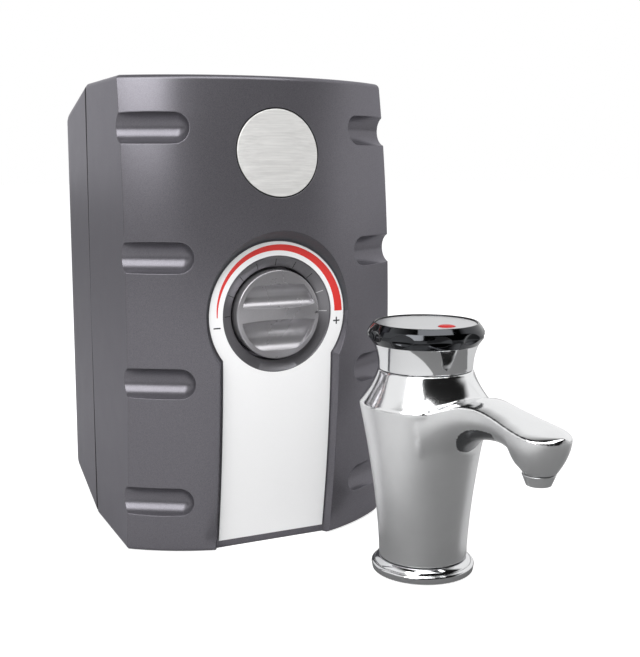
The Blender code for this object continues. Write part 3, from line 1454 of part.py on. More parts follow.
def valve():
    """The cartridge in its bore, the nut that holds it, the stem and its seal."""
    outer = VALVE_BORE_RADIUS - GAP
    foot = VALVE_FLOOR_Z + GAP
    bore = STEM_RADIUS + GAP
    cartridge = [
        (0, STEM_FOOT_Z - GAP),
        (bore, STEM_FOOT_Z - GAP),
        (bore, CARTRIDGE_TOP_Z),
        (outer, CARTRIDGE_TOP_Z),
        (outer, foot + CARTRIDGE_NOSE),
        (CARTRIDGE_NOSE_RADIUS, foot + CARTRIDGE_NOSE),
        (CARTRIDGE_NOSE_RADIUS, foot),
        (0, foot),
    ]
    turned("valve_cartridge", cartridge, BRASS, parent=FAUCET)
    nut = [
        (outer, NUT_TOP_Z),
        (outer, NUT_FOOT_Z),
        (NUT_BORE_RADIUS, NUT_FOOT_Z),
        (NUT_BORE_RADIUS, NUT_TOP_Z),
    ]
    turned("cartridge_nut", nut, BRASS, parent=FAUCET)
    screw_bore = KNOB_SCREW_RADIUS + GAP
    screw_floor = KNOB_SCREW_SEAT_Z - KNOB_SCREW_LENGTH - GAP
    stem = [
        (0, screw_floor),
        (screw_bore, screw_floor),
        (screw_bore, STEM_TOP_Z),
        (STEM_RADIUS, STEM_TOP_Z),
        (STEM_RADIUS, STEM_FOOT_Z),
        (0, STEM_FOOT_Z),
    ]
    turned("valve_stem", stem, STEEL, parent=FAUCET)
    ring_radius = STEM_RADIUS + GAP + O_RING_RADIUS
    ring_z = NUT_FOOT_Z + NUT_HEIGHT / 2
    turns = [math.radians(angle) for angle in spread(90, -270, 6)[:-1]]
    wire = O_RING_RADIUS
    o_ring = [(ring_radius + wire * math.cos(t), ring_z + wire * math.sin(t)) for t in turns]
    turned("stem_o_ring", o_ring, RUBBER, parent=FAUCET)


def return_spring():
    """A torsion spring round the stem, between the nut and the knob."""
    count = SPRING_TURNS * SPRING_POINTS
    foot = NUT_TOP_Z + GAP + SPRING_WIRE_RADIUS
    points = []
    for i in range(count + 1):
        turn = 2 * math.pi * i / SPRING_POINTS
        height = foot + SPRING_PITCH * i / SPRING_POINTS
        points.append((SPRING_RADIUS * math.cos(turn), SPRING_RADIUS * math.sin(turn), height))
    tube("return_spring", points, SPRING_WIRE_RADIUS, STEEL, parent=FAUCET)


def knob():
    """The chrome knob: a flared skirt, a ring with finger scallops and a shallow seat for the cap."""
    rise = KNOB_RING_FOOT_Z - KNOB_FOOT_Z
    flare = KNOB_RING_FOOT_RADIUS - KNOB_FOOT_RADIUS
    skirt = []
    for share in spread(1, 0, 4)[1:]:
        skirt.append((KNOB_FOOT_RADIUS + flare * share**SKIRT_FLARE_POWER, KNOB_FOOT_Z + rise * share))
    bulge = (KNOB_RING_RADIUS - KNOB_TOP_RADIUS) * KNOB_BULGE_SHARES[0]
    ring = [
        (KNOB_TOP_RADIUS, KNOB_TOP_Z),
        (KNOB_TOP_RADIUS + bulge, KNOB_RING_Z + (KNOB_TOP_Z - KNOB_RING_Z) * KNOB_BULGE_SHARES[1]),
        (KNOB_RING_RADIUS, KNOB_RING_Z + KNOB_LIP),
        (KNOB_RING_RADIUS, KNOB_RING_Z - KNOB_LIP),
        (KNOB_RING_FOOT_RADIUS, KNOB_RING_FOOT_Z),
    ]
    seat = KNOB_TOP_RADIUS - KNOB_LIP
    hub_bore = STEM_RADIUS + GAP
    inner = KNOB_FOOT_RADIUS - KNOB_WALL
    profile = [
        (0, CAP_FLOOR_Z),
        (seat, CAP_FLOOR_Z),
        (seat, KNOB_TOP_Z),
        *ring,
        *skirt,
        (inner, KNOB_FOOT_Z),
        (inner, KNOB_WEB_Z),
        (KNOB_HUB_RADIUS, KNOB_WEB_Z),
        (KNOB_HUB_RADIUS, KNOB_HUB_FOOT_Z),
        (hub_bore, KNOB_HUB_FOOT_Z),
        (hub_bore, STEM_TOP_Z + GAP),
        (0, STEM_TOP_Z + GAP),
    ]
    body = turned("knob", profile, CHROME, parent=FAUCET, steps=STEPS_LARGE)
    bm = bmesh.new()
    for i in range(SCALLOP_COUNT):
        turn = 2 * math.pi * (i + SCALLOP_PHASE_SHARE) / SCALLOP_COUNT
        around = Matrix.Rotation(turn, 4, "Z")
        reach = KNOB_RING_RADIUS - SCALLOP_DEPTH + SCALLOP_SIZE[1]
        frame = around @ move(y=reach, z=KNOB_RING_Z - SCALLOP_DROP) @ Matrix.Diagonal((*SCALLOP_SIZE, 1))
        bmesh.ops.create_uvsphere(bm, u_segments=12, v_segments=6, radius=1, matrix=frame)
    scallops = place("scallops", mesh_from("scallops", bm), parent=FAUCET)
    screw_clear = KNOB_SCREW_RADIUS + GAP
    cut(
        body,
        scallops,
        rod("screw_well", KNOB_SCREW_HEAD_RADIUS + GAP, KNOB_SCREW_SEAT_Z, KNOB_TOP_Z, parent=FAUCET),
        rod("screw_way", screw_clear, STEM_TOP_Z, CAP_FLOOR_Z, parent=FAUCET, steps=STEPS_HOLE),
    )


def knob_screw():
    """Holds the knob on the stem, under the cap."""
    frame = move(z=KNOB_SCREW_SEAT_Z + GAP) @ Matrix.Rotation(math.pi, 4, "X")
    pan_screw(
        "knob_screw",
        KNOB_SCREW_RADIUS,
        KNOB_SCREW_LENGTH,
        KNOB_SCREW_HEAD_RADIUS,
        KNOB_SCREW_HEAD,
        frame,
        FAUCET,
    )


def knob_cap():
    """The satin disc in the top of the knob, and the slightly domed red mark in its hole."""
    low = CAP_FLOOR_Z + GAP
    high = low + CAP_THICKNESS
    radius = KNOB_TOP_RADIUS - KNOB_LIP - GAP
    disc = [(0, high), (radius, high), (radius, low), (0, low)]
    cap = turned("knob_cap", disc, CHROME, parent=FAUCET, steps=STEPS_LARGE)
    frame = move(y=-INDICATOR_OFFSET)
    hole = INDICATOR_RADIUS + GAP
    cut(cap, rod("indicator_hole", hole, low - OVERRUN, high + OVERRUN, frame=frame, parent=FAUCET))
    profile = [
        *ellipse(INDICATOR_RADIUS, INDICATOR_DOME, high, 90, 0, 3)[:-1],
        (INDICATOR_RADIUS, high),
        (INDICATOR_RADIUS, low),
        (0, low),
    ]
    turned("hot_indicator", profile, INDICATOR_RED, frame, FAUCET)


def nozzle():
    """The tapered outlet ring under the spout's tip, and the screen in its mouth."""
    frame = move(y=-SPOUT_REACH)
    top = OUTLET_SEAM_Z - GAP
    spigot = OUTLET_SEAM_Z + NOZZLE_SPIGOT
    profile = [
        (NOZZLE_SPIGOT_RADIUS, spigot),
        (NOZZLE_SPIGOT_RADIUS, top),
        (OUTLET_SEAM_RADIUS, top),
        (NOZZLE_FOOT_RADIUS, NOZZLE_FOOT_Z),
        (NOZZLE_BORE_RADIUS, NOZZLE_FOOT_Z),
        (NOZZLE_BORE_RADIUS, spigot),
    ]
    turned("nozzle", profile, CHROME, frame, FAUCET, steps=STEPS_HIDDEN)
    low = NOZZLE_FOOT_Z + SCREEN_SETBACK
    high = low + SCREEN_THICKNESS
    rod("nozzle_screen", NOZZLE_BORE_RADIUS - GAP, low, high, BLACK_PLASTIC, frame, FAUCET)


front_shell()
rear_shell()
label_plate()
badge_disc()
temperature_dial()
dial_spindle()
thermostat()
hot_tank()
expansion_chamber()
heating_element()
thermal_fuse()
insulation()
ports()
drain()
housing_screws()
wall_bracket()
cord_gland()
faucet_body()
base_flange()
base_gasket()
shank_socket()
valve()
return_spring()
knob()
knob_screw()
knob_cap()
nozzle()
split_edges()
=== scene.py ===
"""Dresses the instant hot water dispenser: finer surfaces, materials, lights and the camera.

Metres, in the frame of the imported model: +Z up, the tank's bowed front towards -Y, the faucet in front of it.
"""

from math import asin, cos, hypot, pi, radians, sin, sqrt, tan

import bmesh
import bpy
from mathutils import Matrix, Vector

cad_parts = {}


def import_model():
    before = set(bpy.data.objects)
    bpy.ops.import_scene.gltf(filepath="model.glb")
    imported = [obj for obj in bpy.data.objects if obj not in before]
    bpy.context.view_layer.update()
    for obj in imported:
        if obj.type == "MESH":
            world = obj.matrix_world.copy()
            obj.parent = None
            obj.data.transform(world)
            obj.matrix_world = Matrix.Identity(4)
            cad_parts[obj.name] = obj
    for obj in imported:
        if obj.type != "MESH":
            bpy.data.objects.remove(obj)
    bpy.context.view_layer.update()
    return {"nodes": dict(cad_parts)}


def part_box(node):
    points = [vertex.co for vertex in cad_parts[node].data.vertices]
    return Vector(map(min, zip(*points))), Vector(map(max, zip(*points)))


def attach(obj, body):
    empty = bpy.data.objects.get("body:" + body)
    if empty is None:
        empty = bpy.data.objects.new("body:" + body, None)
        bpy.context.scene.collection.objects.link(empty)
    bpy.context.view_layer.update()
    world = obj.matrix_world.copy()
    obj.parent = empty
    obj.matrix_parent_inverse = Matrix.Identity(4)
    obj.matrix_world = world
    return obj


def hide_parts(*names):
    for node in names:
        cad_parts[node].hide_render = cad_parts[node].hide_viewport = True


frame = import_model()

UNIT = "housing_and_faucet"
DIAL = "dial"
KNOB = "faucet_knob"

# Steps round a circle, and small distances
FINE = 128
MIDDLE = 72
SMALL = 40
COARSE = 24
HIDDEN = 16
WELD = 5e-7
GAP = 0.0003
OVERRUN = 0.003

# Rounded corners: the angle that is left as it is, and how much of an edge a curve may take
NEARLY_STRAIGHT = radians(172)
EDGE_SHARE = 0.45

# How far a face leans, as a share of its normal along an axis
SLIGHT = 0.25
HALF_WAY = 0.5
HALF_DOWN = 0.54
STEEP = 0.75

# Screws: shares of the radius, and of the head's radius and height
THREAD_PITCH = 0.5
THREAD_CORE = 0.84
THREAD_END = 0.6
HEAD_EDGE = 0.45
CROSS_REACH = 0.55
CROSS_HALF = 0.11
CROSS_FLOOR = 0.4

# Housing
TANK_HEIGHT = 0.29
TANK_WIDTH = 0.177
TOP_TAPER = 0.0015
SEAM_Y = 0.01
SIDE_DEPTH = 0.075
PLAN_SAGITTA = 0.032
HEIGHT_BOW = 0.014
SIDE_STRIP = 0.009
REAR_DEPTH = 0.077
REAR_DRAFT = 0.0135
REAR_SIDE_DRAFT = 0.002
REAR_ROUND = 0.012
CORNER_RADIUS = 0.003
SEAM_GROOVE = 0.0032
SEAM_GROOVE_DEPTH = 0.0017
WALL = 0.0025
PLAN_RADIUS = ((TANK_WIDTH / 2) ** 2 + PLAN_SAGITTA**2) / (2 * PLAN_SAGITTA)
BACK_Y = SEAM_Y + REAR_DEPTH

# Troughs
TROUGH_COUNT = 4
TROUGH_RADIUS = 0.0094
TROUGH_DEPTH = 0.008
TROUGH_LENGTH = 0.042
TROUGH_FOOT_MARGIN = 0.0336
TROUGH_HEAD_MARGIN = 0.0305
TROUGH_PITCH = (TANK_HEIGHT - TROUGH_FOOT_MARGIN - TROUGH_HEAD_MARGIN) / (TROUGH_COUNT - 1)

# Dial, well and label
DIAL_Z = TANK_HEIGHT / 2 + 0.003
POCKET_DEPTH = 0.011
POCKET_FLARE = 0.006
POCKET_MARGIN = 0.0008
LABEL_RADIUS = 0.0444
LABEL_HALF_WIDTH = 0.0358
LABEL_THICKNESS = 0.0005
LABEL_FOOT_Z = 0.005
SHADED_WALL = 0.009
RING_RADIUS = 0.0355
RING_DISH = 0.0035
RING_STEP = 0.0006
WELL_RADIUS = 0.0291
WELL_DEPTH = 0.013
DIAL_RADIUS = 0.02725
DIAL_PROUD = 0.002
DIAL_CROWN = 0.003
DIAL_EDGE = 0.0012
DIAL_FLOOR_GAP = 0.0015
DIAL_SKIN = 0.0025
DIAL_HOLLOW = 0.0045
DIAL_HUB_RADIUS = 0.006
DIAL_RIM = 0.003
SCOOPS = ((1, 0.0042, 0.008, 0.0055), (-1, 0.0026, 0.0112, 0.0065))  # side, grip, radius and depth of each
POINTER_WIDTH = 0.0012
POINTER_LENGTH = 0.0032
SPINDLE_RADIUS = 0.003
SPINDLE_GRIP = 0.007

# Badge
BADGE_Z = TANK_HEIGHT - 0.045
BADGE_RADIUS = 0.02575
BADGE_THICKNESS = 0.001
BADGE_PROUD = 0.0002
BADGE_GROOVE = 0.0008
BADGE_EDGE = 0.0004

# Back and underside
VESSEL_Y = 0.008
FOAM_SIDE_WALL = 0.0155
CHAMBER_INSET = 0.013
CHAMBER_TOP_Z = TANK_HEIGHT - 0.04
FOAM_TOP_Z = CHAMBER_TOP_Z - 0.001
BOSS_INSET = 0.0095
BOSS_X = TANK_WIDTH / 2 - BOSS_INSET
BOSS_EDGE = 0.03
BOSS_RADIUS = 0.005
BOSS_REACH = 0.018
BOSS_RIB_HALF = 0.0012
BOSSES = [(x, z) for x in (-BOSS_X, BOSS_X) for z in (BOSS_EDGE, TANK_HEIGHT - BOSS_EDGE)]
VESSEL_RADIUS = BOSS_X - BOSS_RADIUS - 2 * GAP - FOAM_SIDE_WALL
PORT_SPACING = 0.58 * (VESSEL_RADIUS - CHAMBER_INSET)
PORTS = (("inlet_port", -1), ("vent_port", 0), ("outlet_port", 1))
PORT_RADIUS = 0.004
PORT_BORE_RADIUS = 0.0024
PORT_BARB = 0.0008
PORT_BARB_HEIGHT = 0.002
PORT_FOOT_RADIUS = 0.007
PORT_FOOT_HEIGHT = 0.002
PORT_TOP_Z = TANK_HEIGHT + 0.0015
PORT_ROUND = 0.0003
DRAIN_SETBACK = 0.64 * VESSEL_RADIUS
DRAIN_HEAD_RADIUS = 0.007
DRAIN_HEAD_HEIGHT = 0.003
DRAIN_SHANK_RADIUS = 0.004
DRAIN_SEAT_Z = 0.0082
DRAIN_PAD_RADIUS = 0.012
DRAIN_PAD_TOP_Z = 0.0135
DRAIN_RECESS_RADIUS = 0.0085
DRAIN_ROUND = 0.0005
SEAL_THICKNESS = 0.0014
SCREW_RADIUS = 0.0015
SCREW_LENGTH = 0.016
SCREW_HEAD_RADIUS = 0.0036
SCREW_HEAD_HEIGHT = 0.0024
SCREW_SEAT = 0.004
HANGER_Z = TANK_HEIGHT - 0.065
HANGER_HEIGHT = 0.046
HANGER_PLATE = 0.0015
HANGER_STAND = 0.006
HANGER_BEND = 0.0022
HANGER_FACE_HALF = 0.038
HANGER_FOOT = 0.016
HANGER_FOOT_INNER = HANGER_FACE_HALF + 0.004
HANGER_FOOT_OUTER = HANGER_FOOT_INNER + HANGER_FOOT
HANGER_SCREWS = (-HANGER_FOOT_INNER - HANGER_FOOT / 2, HANGER_FOOT_INNER + HANGER_FOOT / 2)
HANGER_SCREW_RADIUS = 0.0018
HANGER_SCREW_LENGTH = 0.0029
HANGER_HEAD_RADIUS = 0.004
HANGER_HEAD_HEIGHT = 0.0022
KEYHOLE_X = 0.026
KEYHOLE_RADIUS = 0.005
KEYHOLE_SLOT_RADIUS = 0.0025
KEYHOLE_RISE = 0.01
GLAND_X = 0.046
GLAND_Z = 0.046
GLAND_RADIUS = 0.009
GLAND_NOSE_RADIUS = 0.0065
GLAND_SPIGOT_RADIUS = 0.006
GLAND_FLANGE = 0.002
GLAND_NOSE = 0.004
GLAND_DIMPLE_RADIUS = 0.0035
GLAND_DIMPLE = 0.0015
GLAND_ROUND = 0.0007

# Faucet
FAUCET_X = 0.0645
FAUCET_Y = -0.1675
SPOUT_TURN = radians(13.5)
COLUMN_FOOT_Z = 0.0085
COLUMN_FOOT_RADIUS = 0.026
COLUMN_FLARE_POWER = 1.55
SHOULDER_Z = 0.1012
SHOULDER_RADIUS = 0.03839
SHOULDER_EDGE = 0.0012
NECK_Z = 0.1212
NECK_ROUND = 0.0007
COLLAR_RADIUS = 0.0277
CONE_SAG = 0.001
SPOUT_REACH = 0.0855
SPOUT_RISE = 0.007
SPOUT_CROWN = 0.0022
SPOUT_EDGE = 0.0012
SPOUT_WAIST = 0.68 * SPOUT_REACH
SPOUT_BLEND = 0.8 * SPOUT_REACH
WAIST_HALF_WIDTH = 0.014
TIP_RADIUS = 0.01667
ROOT_ANGLE = radians(50)
ROOT_INSET = 0.0006
OUTLET_Z = 0.078
OUTLET_RADIUS = 0.0093
# Lengthways curves of the spout's top and underside: shares of its reach, and of a rise over the shoulder
SPOUT_TOP = (
    (0.20, 0.00), (0.29, 0.18), (0.40, 0.66), (0.50, 0.98), (0.60, 0.98), (0.72, 0.68), (0.86, 0.24),
    (1.00, -0.14), (1.21, -0.55),
)
SPOUT_UNDER = (
    (0.27, -1.90), (0.35, -1.35), (0.41, -0.98), (0.47, -0.74), (0.54, -0.60), (0.62, -0.54), (0.71, -0.53),
    (0.79, -0.58), (0.845, -0.68), (0.875, -0.82), (0.888, -1.00),
)
CASTING_SKIN = 0.0007
EVEN_ROUNDS = 4
ROOT_ROUNDS = 60
ROOT_MIDDLE = (0.010, 0.034, 0.080)
ROOT_REACH = (0.024, 0.022, 0.020)
SIDE_LEVELS = 28
SIDE_POWER = 2.2
SIDE_SHAPE = 0.6
BELL_POWER = 1.8
HOLLOW_REACH = (0.030, 0.062)
HOLLOW_FOOT_Z = 0.076
NOZZLE_FOOT_Z = 0.0715
NOZZLE_FOOT_RADIUS = 0.0068
NOZZLE_BORE_RADIUS = 0.005
NOZZLE_SPIGOT_RADIUS = 0.0068
NOZZLE_SPIGOT = 0.008
NOZZLE_ROUND = 0.0004
FOOT_RADIUS = 0.0305
FOOT_RIM_Z = 0.0052
FOOT_CLEAR_Z = 0.0006
FOOT_BORE_RADIUS = 0.0138
FOOT_ROUND = 0.0016
COVE_POWER = 0.6
GASKET_OUTER_RADIUS = 0.0275
GASKET_INNER_RADIUS = 0.018
GASKET_THICKNESS = 0.0018
SOCKET_RADIUS = 0.013
SOCKET_TOP_Z = 0.0372
VALVE_BORE_RADIUS = 0.0135
VALVE_FLOOR_Z = 0.062

# Knob
STEM_RADIUS = 0.004
STEM_TOP_Z = 0.138
KNOB_FOOT_Z = NECK_Z + GAP
KNOB_FOOT_RADIUS = 0.0276
KNOB_RING_FOOT_Z = 0.1364
KNOB_RING_FOOT_RADIUS = 0.0308
KNOB_RING_Z = 0.1418
KNOB_RING_RADIUS = 0.0342
KNOB_TOP_Z = 0.1485
KNOB_TOP_RADIUS = 0.0304
KNOB_CHAMFER = (0.62, 0.55)
KNOB_ROUND = 0.0007
KNOB_LIP = 0.0009
KNOB_WALL = 0.0024
KNOB_WEB_Z = 0.1396
KNOB_HUB_RADIUS = 0.0078
KNOB_HUB_FOOT_Z = 0.1232
SKIRT_POWER = 2.2
CAP_THICKNESS = 0.0012
CAP_FLOOR_Z = KNOB_TOP_Z - 0.0007 - CAP_THICKNESS - GAP
CAP_HOLLOW = 0.35 * CAP_THICKNESS
CAP_EDGE = 0.0002
CAP_DISH = 0.985
SCALLOP_COUNT = 10
SCALLOP_PHASE = 0.125
SCALLOP_DEPTH = 0.0022
SCALLOP_SIZE = (0.0110, 0.0060, 0.0066)
SCALLOP_DROP = 0.0004
INDICATOR_RADIUS = 0.0049
INDICATOR_OFFSET = 0.0165
INDICATOR_DOME = 0.0009
KNOB_SCREW_RADIUS = 0.002
KNOB_SCREW_HEAD_RADIUS = 0.0038
KNOB_SCREW_WELL = 0.0048

# Prints on the label and marks round the dial
PRINT_RISE = 6e-5
PRINT_SINK = 1e-4
ARC_INNER = (0.0390, 0.03925, 0.0381)
ARC_OUTER = (0.0396, 0.0436, 0.0432)
ARC_STEPS = 96
TICK_COUNT = 9
TICK_INNER = 0.0294
TICK_LENGTH = 0.0044
TICK_WIDTH = 0.00045
LIT_TICKS_X = 0.8 * RING_RADIUS
SIGN_RADIUS = 0.0395
SIGN_DROP = 0.0062
SIGN_LENGTH = 0.0044
SIGN_WIDTH = 0.0008

# Stage, lights and camera
FLOOR_REACH = 12
FLOOR_SINK = 1e-4
FLOOR_GREY = 0.62
FLOOR_GLOW = 0.72
CARD = ((-0.05, -1.0), (0.60, -1.0), (0.60, -0.20), (0.11, -0.20), (0.11, -0.10), (-0.05, -0.10))
CARD_Z = 0.0004
CARD_GREY = 0.17
WORLD_LIGHT = 0.55
DARK_LEVEL = 0.008
DARK_AZIMUTH = radians(14)
DARK_SIDE = (radians(50), radians(64))
DARK_CEILING = (0.72, 0.90)
DARK_FOOT = (0.10, 0.26)
BACKDROP = (-0.33, 0.05)
BACKDROP_SIDE = (0.5, 0.87)
LOW_BAND = (0.22, 0.36)
LAMP_TARGET = (0, -0.08, 0.14)
CAMERA_PLACE = (-0.2482, -0.6811, 0.238)
CAMERA_YAW = 25.47
CAMERA_PITCH = 8.9
CAMERA_LENS = 57.3

FRONT = Matrix.Rotation(radians(90), 4, "X")
BACK = Matrix.Rotation(radians(-90), 4, "X")


# Materials

FLECK_LEVELS = (0.35, 0.65)
GLOSS_LEVELS = (0.3, 0.7)


def node(tree, kind, *values, operation=None):
    """Adds a shader node whose first inputs take the values or links, and gives its first output."""
    made = tree.nodes.new("ShaderNode" + kind)
    if operation:
        made.operation = operation
    for socket, value in zip(made.inputs, values):
        if isinstance(value, bpy.types.NodeSocket):
            tree.links.new(value, socket)
        elif value is not None:
            socket.default_value = value
    return made.outputs[0]


def principled(name, colour, roughness, metallic=0.0, **sockets):
    """A Principled material, with its constant values on the shader's own sockets."""
    look = bpy.data.materials.new(name)
    look.use_nodes = True
    shader = look.node_tree.nodes["Principled BSDF"]
    values = {"Base_Color": (*colour, 1.0), "Roughness": roughness, "Metallic": metallic, **sockets}
    for socket, value in values.items():
        shader.inputs[socket.replace("_", " ")].default_value = value
    return look, look.node_tree, shader


def noise(tree, scale, detail, stretch=(1, 1, 1), roughness=0.5):
    """Noise in metres of the object, stretched along an axis where asked."""
    place_in = tree.nodes.new("ShaderNodeTexCoord").outputs["Object"]
    stretched = node(tree, "Mapping", place_in, None, None, stretch)
    return node(tree, "TexNoise", stretched, None, scale, detail, roughness)


def varied(name, colour, roughness, metallic, noises, fleck, gloss, height, edge, **sockets):
    """A Principled material whose colour, gloss and height each follow a noise, with its edges softened."""
    look, tree, shader = principled(name, colour, roughness, metallic, **sockets)
    tint, shine, relief = (noise(tree, *values) for values in noises)
    ramp = tree.nodes.new("ShaderNodeValToRGB")
    for stop, position, share in zip(ramp.color_ramp.elements, FLECK_LEVELS, (1 - fleck, 1 + fleck)):
        stop.position = position
        stop.color = (*(min(1.0, c * share) for c in colour), 1.0)
    tree.links.new(tint, ramp.inputs["Fac"])
    tree.links.new(ramp.outputs["Color"], shader.inputs["Base Color"])
    shine = node(tree, "MapRange", shine, *GLOSS_LEVELS, roughness * gloss[0], roughness * gloss[1])
    tree.links.new(shine, shader.inputs["Roughness"])
    bump = tree.nodes.new("ShaderNodeBump")
    bump.inputs["Distance"].default_value = height
    tree.links.new(relief, bump.inputs["Height"])
    if edge:
        bevel = tree.nodes.new("ShaderNodeBevel")
        bevel.samples = 6
        bevel.inputs["Radius"].default_value = edge
        tree.links.new(bevel.outputs["Normal"], bump.inputs["Normal"])
    tree.links.new(bump.outputs["Normal"], shader.inputs["Normal"])
    return look


def moulded(name, colour, roughness, metallic=0.0, fleck=0.1, grain=12e-6, edge=0.0005, **sockets):
    """Moulded plastic: fine flecks in the colour, a fine grain and slightly uneven gloss."""
    noises = ((2600, 2.0), (45, 4.0), (1900, 3.0))
    return varied(name, colour, roughness, metallic, noises, fleck, (0.95, 1.05), grain, edge, **sockets)


def brushed(name, colour, roughness, stretch, depth=6e-6, metallic=1.0):
    """Metal with fine lines along one axis."""
    lines = (900, 5.0, stretch, 0.65)
    return varied(name, colour, roughness, metallic, (lines, lines, lines), 0.07, (0.8, 1.25), depth, 0.0002)


def polished(name, colour, roughness, ripple=4e-6, edge=0.0002, smear=0.3):
    """Plated or machined metal: nearly even, with faint smears in the gloss and the slightest waviness."""
    noises = ((60, 3.0), (140, 5.0), (70, 2.0))
    return varied(name, colour, roughness, 1.0, noises, 0.02, (1 - smear, 1 + smear), ripple, edge)


SILVER_TINT = (0.50, 0.49, 0.54, 1.0)
LOOKS = {
    "grey_housing": moulded(
        "housing_plastic", (0.148, 0.143, 0.159), 0.29, 0.6, 0.16, edge=0.0008, Specular_Tint=SILVER_TINT
    ),
    "dial_grey": moulded("dial_plastic", (0.4, 0.392, 0.41), 0.28, 0.65, 0.05, 4e-6),
    "label_white": moulded(
        "label_sheet", (0.9, 0.9, 0.905), 0.38, fleck=0.012, grain=4e-6, edge=0.0002, Specular_IOR_Level=0.35
    ),
    "brushed_steel": brushed("badge_steel", (0.8, 0.795, 0.78), 0.42, (0.04, 1, 1), metallic=0.45),
    "chrome": polished("faucet_chrome", (0.76, 0.765, 0.775), 0.07, edge=0.0005),
    "indicator_red": moulded(
        "indicator_plastic", (0.46, 0.014, 0.014), 0.4, 0, 0.05, 3e-6, 0.0003, Specular_IOR_Level=0.12
    ),
    "stainless_steel": brushed("vessel_steel", (0.58, 0.58, 0.58), 0.3, (1, 1, 0.05)),
    "zinc_steel": polished("zinc_plate", (0.56, 0.57, 0.59), 0.34, 10e-6, 0.0003),
    "brass": polished("turned_brass", (0.72, 0.5, 0.2), 0.28, 10e-6, 0.0003),
    "white_foam": moulded("foam_beads", (0.86, 0.86, 0.84), 0.85, 0, 0.05, 120e-6, 0),
    # Black rubber for the real seals, also used as painted shade in the grooves of the shells
    "black_rubber": moulded("seal_rubber_and_painted_shade", (0.022, 0.022, 0.023), 0.72, 0, 0.2, 30e-6, 0.0002),
    "black_plastic": moulded("gland_plastic", (0.028, 0.028, 0.031), 0.48, 0, 0.2, 20e-6, 0.0004),
    "white_plastic": moulded("port_plastic", (0.8, 0.8, 0.78), 0.42, 0, 0.03, 10e-6, 0.0002),
}
BODY_METAL = polished("body_chrome", (0.8, 0.805, 0.812), 0.13, edge=0.0005, smear=0.1)
SATIN_METAL = polished("column_satin", (0.78, 0.785, 0.792), 0.38, edge=0.0005, smear=0.03)
# Dark chrome for the underside of the spout's arch: painted shade
ARCH_PAINTED_SHADE = polished("arch_chrome_painted_shade", (0.16, 0.163, 0.17), 0.22, edge=0.0005, smear=0.1)
# Nearly black chrome for the knob's scalloped ring: a painted dark reflection
RING_PAINTED_REFLECTION = polished("ring_chrome_painted_reflection", (0.05, 0.052, 0.056), 0.08, edge=0.0004)
CAP_METAL = brushed("cap_satin", (0.6, 0.605, 0.615), 0.34, (0.05, 1, 1), 3e-6)
RING_PLASTIC = moulded("ring_plastic", (0.24, 0.235, 0.25), 0.3, 0.75, 0.05, 4e-6)
# Darker, duller grey for the upper wall of the label's recess: painted shade
RECESS_PAINTED_SHADE = moulded("recess_painted_shade", (0.075, 0.082, 0.092), 0.55, 0.2, 0.16, edge=0.0008)
MARK_PAINTED_HIGHLIGHT = moulded("lit_marks", (0.6, 0.6, 0.61), 0.4, 0, 0.03, 3e-6, 0)
PRINT_RED = moulded("printed_red", (0.74, 0.04, 0.034), 0.36, 0, 0.03, 3e-6, 0)
PRINT_DARK = moulded("printed_grey", (0.03, 0.03, 0.034), 0.45, 0, 0.1, 3e-6, 0)


# Making pieces


def place(name, data, matrix=None):
    obj = bpy.data.objects.new(name, data)
    bpy.context.scene.collection.objects.link(obj)
    if matrix:
        obj.matrix_world = matrix
    return obj


def built(name, bm, matrix=None):
    bmesh.ops.remove_doubles(bm, verts=bm.verts, dist=WELD)
    bmesh.ops.recalc_face_normals(bm, faces=bm.faces)
    mesh = bpy.data.meshes.new(name)
    bm.to_mesh(mesh)
    bm.free()
    return place(name, mesh, matrix)


def move(x=0.0, y=0.0, z=0.0):
    return Matrix.Translation((x, y, z))


def settle(obj):
    """Turns an object with its modifiers into plain mesh data in the model's frame."""
    bpy.context.view_layer.update()
    graph = bpy.context.evaluated_depsgraph_get()
    mesh = bpy.data.meshes.new_from_object(obj.evaluated_get(graph))
    mesh.transform(obj.matrix_world)
    obj.modifiers.clear()
    obj.data = mesh
    obj.matrix_world = Matrix.Identity(4)


def combine(target, others, operation="DIFFERENCE"):
    """Applies Booleans with the other pieces, which are then removed."""
    for other in others:
        boolean = target.modifiers.new(other.name, "BOOLEAN")
        boolean.operation = operation
        boolean.solver = "EXACT"
        boolean.object = other
    settle(target)
    for other in others:
        bpy.data.objects.remove(other, do_unlink=True)
    return target


def dress(obj, body, slot, *nodes, look=None, angle=35):
    """Gives a piece its material and smooth shading, and lets it ride in place of its CAD nodes."""
    settle(obj)
    mesh = obj.data
    mesh.materials.clear()
    mesh.materials.append(look or LOOKS[slot])
    for face in mesh.polygons:
        face.material_index = 0
    mesh.shade_smooth()
    mesh.set_sharp_from_angle(angle=radians(angle))
    weighted = obj.modifiers.new("even_normals", "WEIGHTED_NORMAL")
    weighted.keep_sharp = True
    weighted.weight = 80
    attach(obj, body)
    if nodes:
        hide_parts(*nodes)


def two_tone(obj, look, test):
    """Gives one more material to the faces whose centre and normal pass the test."""
    mesh = obj.data
    mesh.materials.append(look)
    for face in mesh.polygons:
        if test(face.center, face.normal):
            face.material_index = len(mesh.materials) - 1


def spread(first, last, steps):
    return [first + (last - first) * i / steps for i in range(steps + 1)]


def quarter(steps):
    return spread(0, pi / 2, steps)


def circle(radius, steps):
    return [(radius * cos(t), radius * sin(t)) for t in spread(0, 2 * pi, steps)[:-1]]


def clamp(share):
    return min(1.0, max(0.0, share))


